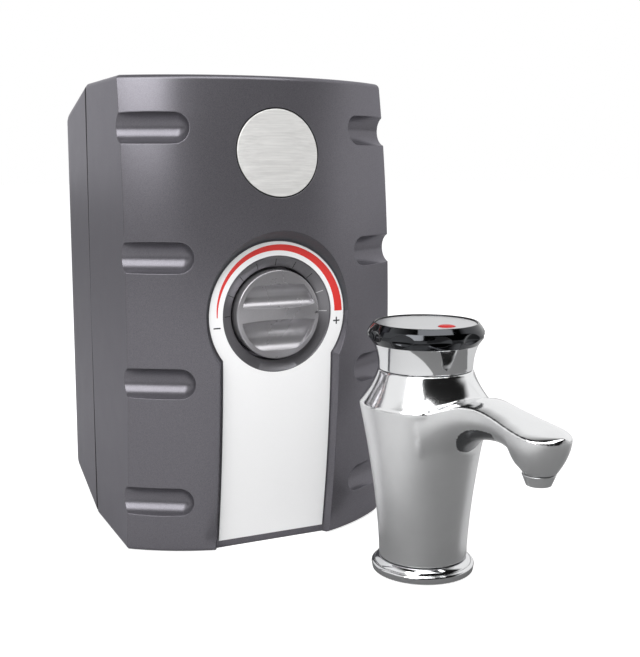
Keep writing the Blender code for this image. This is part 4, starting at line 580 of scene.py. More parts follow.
def skinned(name, strips, matrix=None, caps=(0, -1)):
    """Joins the rings of each strip by bands of faces, closes the ends asked for and welds what meets."""
    bm = bmesh.new()
    for rings in strips:
        rows = [[bm.verts.new(point) for point in ring] for ring in rings]
        for a, b in zip(rows, rows[1:]):
            steps = max(len(a), len(b))
            for i in range(steps):
                j = (i + 1) % steps
                face = list(dict.fromkeys((a[i % len(a)], a[j % len(a)], b[j % len(b)], b[i % len(b)])))
                if len(face) > 2:
                    bm.faces.new(face)
        for cap in caps:
            bm.faces.new(rows[cap])
    return built(name, bm, matrix)


def turned(name, profile, matrix=None, steps=MIDDLE):
    """Turns (radius, height) points about Z into a closed body."""
    rings = []
    for radius, height in profile:
        points = [(0, 0)] if radius < WELD else circle(radius, steps)
        rings.append([(*point, height) for point in points])
    if profile[0][0] > 0 or profile[-1][0] > 0:
        rings.append(rings[0])
    return skinned(name, [rings], matrix, ())


def stairs(*values):
    """A stepped profile: a radius and a height, and then by turns a new radius and a new height."""
    points = [values[:2]]
    for i, value in enumerate(values[2:]):
        radius, height = points[-1]
        points.append((radius, value) if i % 2 else (value, height))
    return points


def rod(radius, low, high, matrix=None, steps=SMALL):
    return turned("rod", stairs(0, high, radius, low, 0), matrix, steps)


def block(low, high, matrix=None):
    bm = bmesh.new()
    low, high = Vector(low), Vector(high)
    size = Matrix.Diagonal((*(high - low), 1))
    bmesh.ops.create_cube(bm, size=1, matrix=Matrix.Translation((low + high) / 2) @ size)
    return built("block", bm, matrix)


def bend(a, b, c, steps):
    """Points on a short curve from a to c that leans towards b."""
    return [a * (1 - t) ** 2 + b * 2 * t * (1 - t) + c * t**2 for t in spread(0, 1, steps)]


def rounded(points, radius, steps=5):
    """A profile with its inner corners turned into short curves."""
    found = [Vector(points[0])]
    for a, b, c in zip(points, points[1:], points[2:]):
        a, b, c = Vector(a), Vector(b), Vector(c)
        back, ahead = a - b, c - b
        angle = back.angle(ahead)
        if angle > NEARLY_STRAIGHT:
            found.append(b)
            continue
        reach = min(radius / tan(angle / 2), back.length * EDGE_SHARE, ahead.length * EDGE_SHARE)
        found += bend(b + back.normalized() * reach, b, b + ahead.normalized() * reach, steps)
    return [*found, Vector(points[-1])]


# Surfaces of the housing


def arc_centre_y(z):
    bow = HEIGHT_BOW * (1 - (2 * z / TANK_HEIGHT - 1) ** 2)
    return SEAM_Y - SIDE_DEPTH - bow - PLAN_SAGITTA + PLAN_RADIUS


def front_y(x, z):
    return arc_centre_y(z) - sqrt(PLAN_RADIUS**2 - x**2)


def apex_y(z):
    return arc_centre_y(z) - PLAN_RADIUS


def floor_y(z):
    return apex_y(z) + POCKET_DEPTH


def label_y(z):
    return floor_y(z) - GAP - LABEL_THICKNESS


def half_width(z):
    return TANK_WIDTH / 2 - TOP_TAPER * max(0.0, 2 * z / TANK_HEIGHT - 1)


def plan_ring(z, inset, back_y, arc_steps):
    """One level of the front shell: the bowed front from side to side, and the two ends at the back."""
    radius = PLAN_RADIUS - inset
    reach = half_width(z) - inset
    turn = asin(reach / radius)
    arc = [(radius * sin(t), arc_centre_y(z) - radius * cos(t), z) for t in spread(-turn, turn, arc_steps)]
    strip_y = SEAM_Y - SIDE_DEPTH + SIDE_STRIP
    return [*arc, (reach, strip_y, z), (reach, back_y, z), (-reach, back_y, z), (-reach, strip_y, z)]


def rear_ring(y, inset, corner_steps=10):
    """One section of the rear shell: a rectangle with round corners that shrinks towards the back."""
    share = (y - SEAM_Y) / REAR_DEPTH
    into = max(0.0, y + inset - (BACK_Y - REAR_ROUND))
    edge = REAR_ROUND - sqrt(max(0.0, REAR_ROUND**2 - into**2))
    shrink = inset + edge * (1 - inset / REAR_ROUND)
    low = REAR_DRAFT * share + shrink
    high = TANK_HEIGHT - REAR_DRAFT * share - shrink
    radius = CORNER_RADIUS + (REAR_ROUND - CORNER_RADIUS) * max(0.0, share)
    points = []
    for side_x, side_z, first in ((1, 1, 0), (-1, 1, 90), (-1, -1, 180), (1, -1, 270)):
        z = (high if side_z > 0 else low) - side_z * radius
        x = side_x * (half_width(z) - REAR_SIDE_DRAFT * share - shrink - radius)
        for turn in spread(radians(first), radians(first + 90), corner_steps):
            points.append((x + radius * cos(turn), y, z + radius * sin(turn)))
    return points


def keyhole(radius, half, foot_z):
    """The right half of a keyhole outline from its top down, as (x, z): a disc on a straight stem."""
    turns = spread(0, pi - asin(half / radius), 64)
    head = [(radius * sin(t), DIAL_Z + radius * cos(t)) for t in turns]
    return head + [(half, z) for z in spread(head[-1][1], foot_z, 30)[1:]]


def keyhole_solid(name, front, front_depth, back, back_depth):
    """A keyhole-shaped slab between two outlines, each at its own depth as a function of height."""
    rings = []
    for (x, z), (far_x, far_z) in zip(front, back):
        near, far = front_depth(z), back_depth(far_z)
        rings.append([(-x, near, z), (x, near, z), (far_x, far, far_z), (-far_x, far, far_z)])
    return skinned(name, [rings], caps=(-1,))


def pocket_solid(name, grow):
    """The recess round the label, with its flared walls, grown on every side by the given amount."""
    flare = POCKET_FLARE * (POCKET_DEPTH + OVERRUN) / POCKET_DEPTH
    radius = LABEL_RADIUS + POCKET_MARGIN + grow
    half = LABEL_HALF_WIDTH + POCKET_MARGIN + grow
    front = keyhole(radius + flare, half + flare, -OVERRUN)
    back = keyhole(radius, half, -OVERRUN)
    return keyhole_solid(name, front, lambda z: apex_y(z) - OVERRUN, back, lambda z: floor_y(z) + grow)


def surface_disc(name, centre_z, radius, proud, sunk, edge=0.0):
    """A round patch that follows the bowed front, with an edge that falls away by the given radius."""
    strips = []
    for offset, ease in ((-proud, edge), (sunk, 0.0)):
        reaches = spread(0, radius - ease, 10)[1:]
        if ease:
            reaches += [radius - ease * (1 - sin(t)) for t in quarter(4)[1:]]
        rings = [[(0, front_y(0, centre_z) + offset, centre_z)]]
        for reach in reaches:
            fall = ease - sqrt(max(0.0, ease**2 - max(0.0, reach - radius + ease) ** 2))
            places = [(x, centre_z + z) for x, z in circle(reach, FINE)]
            rings.append([(x, front_y(x, z) + offset + fall, z) for x, z in places])
        strips.append(rings)
    strips.append([rings[-1] for rings in strips])
    return skinned(name, strips, caps=())


def trough_frame(side, z):
    """Lays a bullet's axis along the bowed front, from the corner inwards, at the trough's depth."""
    corner = asin(half_width(z) / PLAN_RADIUS)
    inner = corner - TROUGH_LENGTH / PLAN_RADIUS
    middle = (corner + inner) / 2
    bulge = PLAN_RADIUS * (1 - cos((corner - inner) / 2))
    lift = TROUGH_RADIUS - TROUGH_DEPTH + bulge
    outward = Vector((side * sin(middle), -cos(middle), 0))
    start = Vector((side * PLAN_RADIUS * sin(corner), arc_centre_y(z) - PLAN_RADIUS * cos(corner), z))
    along = Vector((-side * cos(middle), -sin(middle), 0))
    axes = Matrix((outward, along.cross(outward), along)).transposed().to_4x4()
    return Matrix.Translation(start + outward * lift) @ axes


def troughs(name, grow, sides, caps):
    """All side troughs as bullets with round inner ends, grown by the given amount."""
    radius = TROUGH_RADIUS + grow
    reach = TROUGH_LENGTH - TROUGH_RADIUS
    levels = [(-TROUGH_LENGTH, radius)]
    levels += [(reach + radius * sin(t), radius * cos(t)) for t in spread(0, radians(85), caps)]
    rings = [[(*point, along) for point in circle(size, sides)] for along, size in levels]
    rings.append([(0, 0, reach + radius)])
    strips = []
    for side in (-1, 1):
        for row in range(TROUGH_COUNT):
            matrix = trough_frame(side, TROUGH_FOOT_MARGIN + row * TROUGH_PITCH)
            strips.append([[matrix @ Vector(point) for point in ring] for ring in rings])
    return skinned(name, strips, caps=(0,))


def well_profile(grow):
    ring, well = RING_RADIUS + grow, WELL_RADIUS + grow
    dish = (well, -RING_DISH - grow)
    return [*stairs(0, OVERRUN, ring, -RING_STEP - grow), dish, *stairs(well, -WELL_DEPTH - grow, 0)]


DIAL_FRAME = move(y=floor_y(DIAL_Z), z=DIAL_Z) @ FRONT
DRAIN_FRAME = move(y=VESSEL_Y + DRAIN_SETBACK)
GLAND_FRAME = move(GLAND_X, BACK_Y, GLAND_Z) @ BACK
PORT_FRAMES = {name: move(side * PORT_SPACING, VESSEL_Y + PORT_SPACING) for name, side in PORTS}


# Tank unit


def on_painted_shade_wall(centre, normal):
    """Whether a face belongs to the upper half of the sloping wall round the label, which is given painted
    shade.
    """
    reach = hypot(centre.x, centre.z - DIAL_Z)
    return 0 < reach - LABEL_RADIUS < SHADED_WALL and centre.z > DIAL_Z and -STEEP < normal.y < -SLIGHT


def on_dial_ring(centre, normal):
    """Whether a face belongs to the dished ring round the dial."""
    return WELL_RADIUS < hypot(centre.x, centre.z - DIAL_Z) < RING_RADIUS and normal.y < -HALF_WAY


def in_badge_groove_painted_shade(centre, _):
    """Whether a face belongs to the floor under the badge, which shows as a thin groove round it and is painted
    black as painted shade.
    """
    reach = hypot(centre.x, centre.z - BADGE_Z)
    return reach < BADGE_RADIUS + BADGE_GROOVE and centre.y > front_y(centre.x, centre.z) + BADGE_PROUD


def front_shell():
    foot = [(CORNER_RADIUS * (1 - cos(t)), CORNER_RADIUS * (1 - sin(t))) for t in quarter(6)]
    body = [(z, 0.0) for z in spread(CORNER_RADIUS, TANK_HEIGHT - CORNER_RADIUS, 40)[1:-1]]
    head = [(TANK_HEIGHT - z, inset) for z, inset in reversed(foot)]
    rings = [plan_ring(z, inset, SEAM_Y - GAP / 2, 72) for z, inset in foot + body + head]
    shell = skinned("front_shell_fine", [rings])
    rings = [plan_ring(z, WALL, SEAM_Y + OVERRUN, 16) for z in spread(WALL, TANK_HEIGHT - WALL, 10)]
    cavity = skinned("front_cavity", [rings])
    frames = [move(x, SEAM_Y + 2 * OVERRUN, z) @ FRONT for x, z in BOSSES]
    cores = [
        troughs("trough_cores", WALL, 12, 3),
        pocket_solid("pocket_core", WALL),
        turned("well_core", well_profile(WALL), DIAL_FRAME, COARSE),
    ]
    cores += [rod(BOSS_RADIUS, 0, BOSS_REACH + 2 * OVERRUN, matrix, HIDDEN) for matrix in frames]
    for x, z in BOSSES:
        low = (min(x, 2 * x), SEAM_Y - BOSS_REACH, z - BOSS_RIB_HALF)
        cores.append(block(low, (max(x, 2 * x), SEAM_Y + 2 * OVERRUN, z + BOSS_RIB_HALF)))
    combine(cavity, cores)
    pilot = 2 * OVERRUN + SCREW_LENGTH - SCREW_SEAT
    well = [*well_profile(0)[:-1], *stairs(SPINDLE_RADIUS + GAP, -WELL_DEPTH)]
    well += stairs(SPINDLE_RADIUS + GAP, -WELL_DEPTH - WALL - OVERRUN, 0)
    recess = BADGE_THICKNESS - BADGE_PROUD + GAP
    cutters = [
        troughs("trough_cuts", 0, MIDDLE, 14),
        pocket_solid("pocket_cut", 0),
        turned("well_cut", well, DIAL_FRAME, FINE),
        surface_disc("badge_recess", BADGE_Z, BADGE_RADIUS + BADGE_GROOVE, OVERRUN, recess),
    ]
    cutters += [rod(SCREW_RADIUS + GAP, 0, pilot, matrix, HIDDEN) for matrix in frames]
    combine(shell, [*cutters, cavity])
    dress(shell, UNIT, "grey_housing", "front_shell")
    # Painted shade: the upper half of the recess wall round the label gets a darker material
    two_tone(shell, RECESS_PAINTED_SHADE, on_painted_shade_wall)
    two_tone(shell, RING_PLASTIC, on_dial_ring)
    # Painted shade: the floor of the groove round the badge gets the black rubber material
    two_tone(shell, LOOKS["black_rubber"], in_badge_groove_painted_shade)


def rear_shell():
    straight = BACK_Y - REAR_ROUND
    groove = SEAM_Y + SEAM_GROOVE
    levels = [(SEAM_Y + GAP / 2, SEAM_GROOVE_DEPTH), (groove, SEAM_GROOVE_DEPTH)]
    levels += [(y, 0.0) for y in spread(groove + GAP, straight, 8)]
    levels += [(straight + REAR_ROUND * sin(t), 0.0) for t in quarter(9)[1:]]
    shell = skinned("rear_shell_fine", [[rear_ring(y, inset) for y, inset in levels]])
    bend_y = straight - WALL
    levels = [SEAM_Y - OVERRUN, bend_y, *(bend_y + REAR_ROUND * sin(t) for t in quarter(4)[1:])]
    cavity = skinned("rear_cavity", [[rear_ring(y, WALL, 4) for y in levels]])
    frames = [move(x, SEAM_Y, z) @ BACK for x, z in BOSSES]
    cores = [rod(BOSS_RADIUS, -2 * OVERRUN, REAR_DEPTH, matrix, HIDDEN) for matrix in frames]
    combine(cavity, [*cores, rod(DRAIN_PAD_RADIUS, -OVERRUN, DRAIN_PAD_TOP_Z, DRAIN_FRAME, COARSE)])
    cutters = [cavity]
    for matrix in frames:
        cutters.append(rod(SCREW_HEAD_RADIUS + GAP, SCREW_SEAT, REAR_DEPTH + OVERRUN, matrix))
        cutters.append(rod(SCREW_RADIUS + GAP, -OVERRUN, SCREW_SEAT + OVERRUN, matrix, COARSE))
    cutters += [rod(PORT_RADIUS + GAP, FOAM_TOP_Z, PORT_TOP_Z, matrix) for matrix in PORT_FRAMES.values()]
    for x in HANGER_SCREWS:
        matrix = move(x, BACK_Y, HANGER_Z) @ BACK
        cutters.append(rod(HANGER_SCREW_RADIUS + GAP, -HANGER_SCREW_LENGTH, OVERRUN, matrix, COARSE))
    cutters.append(rod(DRAIN_RECESS_RADIUS, -OVERRUN, DRAIN_SEAT_Z, DRAIN_FRAME))
    cutters.append(rod(DRAIN_SHANK_RADIUS + GAP, 0, DRAIN_PAD_TOP_Z + OVERRUN, DRAIN_FRAME))
    cutters.append(rod(GLAND_SPIGOT_RADIUS + GAP, -WALL - OVERRUN, OVERRUN, GLAND_FRAME))
    combine(shell, cutters)
    dress(shell, UNIT, "grey_housing", "rear_shell")
    # Painted shade: the faces of the seam groove get the black rubber material
    two_tone(shell, LOOKS["black_rubber"], lambda centre, _: centre.y < groove + GAP)


def label_plate():
    outline = keyhole(LABEL_RADIUS, LABEL_HALF_WIDTH, LABEL_FOOT_Z)
    label = keyhole_solid("label_sheet", outline, label_y, outline, lambda z: floor_y(z) - GAP)
    combine(label, [rod(RING_RADIUS + GAP, -POCKET_DEPTH, POCKET_DEPTH, DIAL_FRAME, FINE)])
    dress(label, UNIT, "label_white", "label_plate")


def print_strip(name, edges, look):
    """A printed strip on the label, between two rows of (x, z) points."""
    rings = []
    for (x, z), (far_x, far_z) in edges:
        near, far = label_y(z), label_y(far_z)
        front = [(x, near - PRINT_RISE, z), (far_x, far - PRINT_RISE, far_z)]
        rings.append([*front, (far_x, far + PRINT_SINK, far_z), (x, near + PRINT_SINK, z)])
    dress(skinned(name, [rings]), UNIT, "label_white", look=look)


def label_prints():
    arc = []
    radii = zip(bend(*ARC_INNER, ARC_STEPS), bend(*ARC_OUTER, ARC_STEPS))
    for turn, ends in zip(spread(pi, 0, ARC_STEPS), radii):
        arc.append([(radius * cos(turn), DIAL_Z + radius * sin(turn)) for radius in ends])
    print_strip("label_red_arc", arc, PRINT_RED)
    long, thin = SIGN_LENGTH / 2, SIGN_WIDTH / 2
    signs = (
        ("label_minus", -SIGN_RADIUS, long, -thin, thin),
        ("label_plus", SIGN_RADIUS, long, -thin, thin),
        ("label_plus_top", SIGN_RADIUS, thin, thin, long),
        ("label_plus_foot", SIGN_RADIUS, thin, -long, -thin),
    )
    z = DIAL_Z - SIGN_DROP
    for name, x, half, low, high in signs:
        print_strip(name, [((end, z + low), (end, z + high)) for end in (x - half, x + half)], PRINT_DARK)


def dial_marks():
    """Fine marks on the dished ring round the dial, from side to side over its top; those on the right are
    painted pale as a painted highlight.
    """
    slope = (RING_DISH - RING_STEP) / (RING_RADIUS - WELL_RADIUS)
    half = TICK_WIDTH / 2
    strips = []
    for turn in spread(0, pi, TICK_COUNT - 1):
        around = Matrix.Rotation(turn, 4, "Z")
        rings = []
        for radius in (TICK_INNER, TICK_INNER + TICK_LENGTH):
            height = -RING_DISH + slope * (radius - WELL_RADIUS)
            top, foot = height + PRINT_RISE, height - PRINT_SINK
            corners = ((-half, top), (half, top), (half, foot), (-half, foot))
            rings.append([around @ Vector((radius, *corner)) for corner in corners])
        strips.append(rings)
    marks = skinned("dial_marks", strips, DIAL_FRAME)
    dress(marks, UNIT, "dial_grey", look=PRINT_DARK)
    # Painted highlight: the marks on the right side get a pale grey
    two_tone(marks, MARK_PAINTED_HIGHLIGHT, lambda centre, _: centre.x > LIT_TICKS_X)


def badge_disc():
    sunk = BADGE_THICKNESS - BADGE_PROUD
    badge = surface_disc("badge_face", BADGE_Z, BADGE_RADIUS, BADGE_PROUD, sunk, BADGE_EDGE)
    dress(badge, UNIT, "brushed_steel", "badge_disc")


def temperature_dial():
    foot = -WELL_DEPTH + DIAL_FLOOR_GAP
    inner = DIAL_RADIUS - DIAL_EDGE
    crown = [(inner * share, DIAL_PROUD + DIAL_CROWN * (1 - share**2)) for share in spread(0, 1, 14)]
    edge = [(inner + DIAL_EDGE * sin(t), DIAL_PROUD - DIAL_EDGE * (1 - cos(t))) for t in quarter(6)[1:]]
    hollow = stairs(DIAL_RADIUS, foot, DIAL_RADIUS - DIAL_SKIN, foot + DIAL_HOLLOW, DIAL_HUB_RADIUS, foot, 0)
    dial = turned("dial_knob", crown + edge + hollow, DIAL_FRAME, FINE)
    across = Matrix.Rotation(radians(90), 4, "Y")
    face = DIAL_PROUD + DIAL_CROWN
    places = spread(-DIAL_RADIUS, DIAL_RADIUS, 28)
    cutters = []
    for side, grip, radius, depth in SCOOPS:
        half_chord = sqrt(radius**2 - (radius - depth) ** 2)
        centre = move(y=side * (grip + half_chord), z=face + radius - depth)
        rings = [[(*point, x) for point in circle(radius, MIDDLE)] for x in places]
        scoop = skinned("scoop", [rings], DIAL_FRAME @ centre @ across)
        limit = rod(DIAL_RADIUS - DIAL_RIM, face - depth - OVERRUN, face + 2 * radius, DIAL_FRAME, FINE)
        cutters.append(combine(scoop, [limit], "INTERSECT"))
    notch_low = (DIAL_RADIUS - POINTER_LENGTH, -POINTER_WIDTH / 2, DIAL_PROUD - POINTER_WIDTH)
    notch_high = (DIAL_RADIUS + OVERRUN, POINTER_WIDTH / 2, DIAL_PROUD + OVERRUN)
    cutters.append(block(notch_low, notch_high, DIAL_FRAME))
    cutters.append(rod(SPINDLE_RADIUS + GAP, foot - OVERRUN, foot + SPINDLE_GRIP, DIAL_FRAME))
    combine(dial, cutters)
    dress(dial, DIAL, "dial_grey", "temperature_dial")


def ports():
    foot = CHAMBER_TOP_Z + GAP
    shelf = foot + PORT_FOOT_HEIGHT
    barb = PORT_TOP_Z - PORT_BARB_HEIGHT
    slim = PORT_RADIUS - PORT_BARB / 2
    outside = stairs(PORT_RADIUS, barb, slim, barb - PORT_BARB_HEIGHT, PORT_RADIUS, shelf, PORT_FOOT_RADIUS)
    profile = [(slim, PORT_TOP_Z), *outside, *stairs(PORT_FOOT_RADIUS, foot, PORT_BORE_RADIUS, PORT_TOP_Z)]
    for name, matrix in PORT_FRAMES.items():
        port = turned(name + "_fine", rounded(profile, PORT_ROUND, 3), matrix, SMALL)
        dress(port, UNIT, "white_plastic", name)


def drain_plug():
    seat = DRAIN_SEAT_Z - SEAL_THICKNESS - 2 * GAP
    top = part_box("drain_plug")[1][2]
    profile = stairs(0, top, DRAIN_SHANK_RADIUS, seat, DRAIN_HEAD_RADIUS, seat - DRAIN_HEAD_HEIGHT, 0)
    plug = turned("drain_plug_fine", rounded(profile, DRAIN_ROUND, 4), DRAIN_FRAME)
    thin = DRAIN_SHANK_RADIUS / 5
    low = (-DRAIN_HEAD_RADIUS - OVERRUN, -thin, -OVERRUN)
    high = (DRAIN_HEAD_RADIUS + OVERRUN, thin, seat - DRAIN_HEAD_HEIGHT / 2)
    combine(plug, [block(low, high, DRAIN_FRAME)])
    dress(plug, UNIT, "brass", "drain_plug")


def pan_screw(name, matrix, radius, length, head_radius, head_height):
    """A pan head screw with a cross recess and a fine thread on its shank."""
    pitch = radius * THREAD_PITCH
    z = length - radius
    profile = [(0, length), (pitch, length), (radius, z)]
    while z - pitch > radius * THREAD_END:
        profile += [(radius, z), (radius * THREAD_CORE, z - pitch / 2)]
        z -= pitch
    dome = [(head_radius * cos(t), -head_height * (HEAD_EDGE + (1 - HEAD_EDGE) * sin(t))) for t in quarter(8)]
    profile += [(radius, pitch), (radius, 0), (head_radius, 0), *dome[:-1], (0, -head_height)]
    screw = turned(name + "_fine", profile, matrix, SMALL)
    arm, thin = head_radius * CROSS_REACH, head_radius * CROSS_HALF
    low, high = -head_height - OVERRUN, -head_height * CROSS_FLOOR
    combine(screw, [block((-x, -y, low), (x, y, high), matrix) for x, y in ((arm, thin), (thin, arm))])
    dress(screw, UNIT, "zinc_steel", name)


def housing_screws():
    sizes = SCREW_RADIUS, SCREW_LENGTH, SCREW_HEAD_RADIUS, SCREW_HEAD_HEIGHT
    for i, (x, z) in enumerate(BOSSES, start=1):
        pan_screw(f"housing_screw_{i}", move(x, SEAM_Y + SCREW_SEAT + GAP, z) @ FRONT, *sizes)


def wall_bracket():
    half = [(HANGER_FACE_HALF, HANGER_STAND), (HANGER_FOOT_INNER, 0), (HANGER_FOOT_OUTER, 0)]
    path = rounded([*((-x, y) for x, y in reversed(half)), *half], HANGER_BEND)
    low = HANGER_Z - HANGER_HEIGHT / 2
    bm = bmesh.new()
    strips = [[bm.verts.new((x, BACK_Y + GAP + y, z)) for x, y in path] for z in (low, low + HANGER_HEIGHT)]
    for i in range(len(path) - 1):
        bm.faces.new((strips[0][i + 1], strips[0][i], strips[1][i], strips[1][i + 1]))
    mesh = bpy.data.meshes.new("wall_bracket_fine")
    bm.to_mesh(mesh)
    bm.free()
    bracket = place("wall_bracket_fine", mesh)
    solidify = bracket.modifiers.new("sheet", "SOLIDIFY")
    solidify.thickness = HANGER_PLATE
    solidify.offset = 1.0
    solidify.use_even_offset = True
    through = HANGER_PLATE + OVERRUN
    cutters = []
    for x in (-KEYHOLE_X, KEYHOLE_X):
        hole, end = (
            move(x, BACK_Y + HANGER_STAND, HANGER_Z + side * KEYHOLE_RISE / 2) @ BACK for side in (-1, 1)
        )
        cutters.append(rod(KEYHOLE_RADIUS, -OVERRUN, through, hole))
        cutters.append(rod(KEYHOLE_SLOT_RADIUS, -OVERRUN, through, end))
        slot_low = (-KEYHOLE_SLOT_RADIUS, -KEYHOLE_RISE, -OVERRUN)
        cutters.append(block(slot_low, (KEYHOLE_SLOT_RADIUS, 0, through), hole))
    for x in HANGER_SCREWS:
        matrix = move(x, BACK_Y + GAP, HANGER_Z) @ BACK
        cutters.append(rod(HANGER_SCREW_RADIUS + GAP, -OVERRUN, through, matrix))
    combine(bracket, cutters)
    dress(bracket, UNIT, "zinc_steel", "wall_bracket")
    sizes = HANGER_SCREW_RADIUS, HANGER_PLATE + HANGER_SCREW_LENGTH, HANGER_HEAD_RADIUS, HANGER_HEAD_HEIGHT
    for i, x in enumerate(HANGER_SCREWS, start=1):
        pan_screw(f"bracket_screw_{i}", move(x, BACK_Y + 2 * GAP + HANGER_PLATE, HANGER_Z) @ FRONT, *sizes)


def cord_gland():
    flange = GAP + GLAND_FLANGE
    nose = flange + GLAND_NOSE
    profile = stairs(
        0, nose - GLAND_DIMPLE, GLAND_DIMPLE_RADIUS, nose, GLAND_NOSE_RADIUS, flange, GLAND_RADIUS, GAP,
        GLAND_SPIGOT_RADIUS, -WALL, 0,
    )
    gland = turned("cord_gland_fine", rounded(profile, GLAND_ROUND, 4), GLAND_FRAME)
    dress(gland, UNIT, "black_plastic", "cord_gland")


# Faucet

FAUCET = move(FAUCET_X, FAUCET_Y) @ Matrix.Rotation(SPOUT_TURN, 4, "Z")
OUTLET = FAUCET @ move(y=-SPOUT_REACH)


def column_profile():
    """The flared column, its rounded shoulder and the cone that hollows slightly up to the neck."""
    foot_radius, foot_z = SHOULDER_RADIUS - SHOULDER_EDGE, SHOULDER_Z + 2 * SHOULDER_EDGE
    cone = []
    for share in spread(1, 0, 16):
        radius = foot_radius + (COLLAR_RADIUS - foot_radius) * share - CONE_SAG * sin(pi * share)
        cone.append((radius, foot_z + (NECK_Z - foot_z) * share))
    side = []
    for z in spread(SHOULDER_Z, COLUMN_FOOT_Z, 40):
        flare = max(0.0, (z - COLUMN_FOOT_Z) / (SHOULDER_Z - COLUMN_FOOT_Z)) ** COLUMN_FLARE_POWER
        side.append((COLUMN_FOOT_RADIUS + (SHOULDER_RADIUS - COLUMN_FOOT_RADIUS) * flare, z))
    corner = Vector((SHOULDER_RADIUS, SHOULDER_Z + SHOULDER_EDGE))
    curve = bend(Vector(cone[-1]), corner, Vector(side[0]), 8)
    neck = rounded([(0, NECK_Z), cone[0], cone[3]], NECK_ROUND)
    return [*neck[:-1], *cone[3:-1], *curve, *side[1:], (0, COLUMN_FOOT_Z)]


def spout_curve(shares, rise, samples):
    """A smooth curve of (reach, height), from shares of the reach and of a rise over the shoulder."""
    points = [Vector((reach * SPOUT_REACH, SHOULDER_Z + share * rise)) for reach, share in shares]
    points = [2 * points[0] - points[1], *points, 2 * points[-1] - points[-2]]
    found = []
    for a, b, c, d in zip(points, points[1:], points[2:], points[3:]):
        for t in spread(0, 1, samples)[:-1]:
            square, cube = 2 * a - 5 * b + 4 * c - d, 3 * b - a - 3 * c + d
            found.append((2 * b + (c - a) * t + square * t**2 + cube * t**3) / 2)
    return [*found, points[-2]]


def height_at(curve, reach):
    for a, b in zip(curve, curve[1:]):
        if reach <= b[0]:
            return a[1] + (b[1] - a[1]) * (reach - a[0]) / (b[0] - a[0])
    return curve[-1][1]


def spout_half_width(reach):
    """Half the width of the spout's top, from the shoulder over its waist to the tip."""
    edge = SHOULDER_RADIUS - ROOT_INSET
    root = edge * cos(ROOT_ANGLE)
    if reach <= root:
        return sqrt(edge**2 - reach**2)
    if reach <= SPOUT_WAIST:
        share = (reach - root) / (SPOUT_WAIST - root)
        slope = -(SPOUT_WAIST - root) / tan(ROOT_ANGLE)
        start = 2 * share**3 - 3 * share**2 + 1
        lean = share**3 - 2 * share**2 + share
        return start * edge * sin(ROOT_ANGLE) + lean * slope + (1 - start) * WAIST_HALF_WIDTH
    if reach <= SPOUT_REACH:
        share = (reach - SPOUT_WAIST) / (SPOUT_REACH - SPOUT_WAIST)
        return WAIST_HALF_WIDTH + (TIP_RADIUS - WAIST_HALF_WIDTH) * share**2 * (3 - 2 * share)
    return sqrt(max(0.0, TIP_RADIUS**2 - (reach - SPOUT_REACH) ** 2))


def bell_radius(z, high):
    """Radius, at a height, of the bell that hangs from the tip's edge down to the nozzle."""
    share = clamp((z - OUTLET_Z) / (high - OUTLET_Z))
    return OUTLET_RADIUS + (TIP_RADIUS - OUTLET_RADIUS) * (1 - (1 - share) ** BELL_POWER)


def bell_floor(offset, high):
    """Height of the bell's underside so far from its axis."""
    share = clamp((offset - OUTLET_RADIUS) / (TIP_RADIUS - OUTLET_RADIUS))
    return OUTLET_Z + (high - OUTLET_Z) * (1 - (1 - share) ** (1 / BELL_POWER))


def spout_ring(reach, floor, top):
    """One section: a crowned top with round edges, and sides that sweep under, into the bell at the tip."""
    width = spout_half_width(reach)
    edge = min(SPOUT_EDGE, width / 2)
    side_top = top - edge
    offset = abs(reach - SPOUT_REACH)
    mix = clamp((reach - SPOUT_BLEND) / (SPOUT_REACH - SPOUT_BLEND))
    mix = mix * mix * (3 - 2 * mix)
    full = sqrt(max(TIP_RADIUS**2 - offset**2, 0.0))
    half = [((width - edge) * share, top + SPOUT_CROWN * (1 - share**2)) for share in spread(0, 1, 8)]
    half += [(width - edge * (1 - sin(t)), top - edge * (1 - cos(t))) for t in quarter(5)[1:-1]]
    for level in range(SIDE_LEVELS, -1, -1):
        share = (level / SIDE_LEVELS) ** 2
        z = floor + (side_top - floor) * share
        swept = width * (1 - (1 - share) ** SIDE_POWER) ** SIDE_SHAPE
        bell = sqrt(max(bell_radius(z, side_top) ** 2 - offset**2, 0.0))
        if full > 0:
            bell *= width / full
        half.append((swept + (bell - swept) * mix, z))
    half.append((0.0, floor))
    left = [(-across, -reach, z) for across, z in reversed(half[1:-1])]
    return [(across, -reach, z) for across, z in half] + left


def spout_rings():
    top = spout_curve(SPOUT_TOP, SPOUT_RISE, 12)
    stations = spout_curve(SPOUT_UNDER, SHOULDER_Z - OUTLET_Z, 6)
    stations += [(reach, OUTLET_Z) for reach in spread(stations[-1][0], SPOUT_REACH, 8)[1:-1]]
    for turn in spread(0, radians(86), 24):
        offset = TIP_RADIUS * sin(turn)
        reach = SPOUT_REACH + offset
        stations.append((reach, bell_floor(offset, height_at(top, reach) - SPOUT_EDGE)))
    return [spout_ring(reach, floor, height_at(top, reach)) for reach, floor in stations]


def root_share(point):
    """How much the join of spout and column is smoothed at a point: all at its middle, none further off."""
    local = FAUCET.inverted() @ point
    middle, reach = Vector(ROOT_MIDDLE), Vector(ROOT_REACH)
    off = Vector((abs(local.x) - middle.x, -local.y - middle.y, local.z - middle.z))
    far = max(max(0.0, off.x) / reach.x, abs(off.y) / reach.y, abs(off.z) / reach.z)
    return clamp(2 - 2 * far)


def under_spout_painted_shade(centre, normal):
    """Whether a face of the casting lies in the hollow under the spout, which gets a dark chrome as painted
    shade.
    """
    local = FAUCET.inverted() @ centre
    return HOLLOW_REACH[0] < -local.y < HOLLOW_REACH[1] and local.z > HOLLOW_FOOT_Z and normal.z < -HALF_DOWN


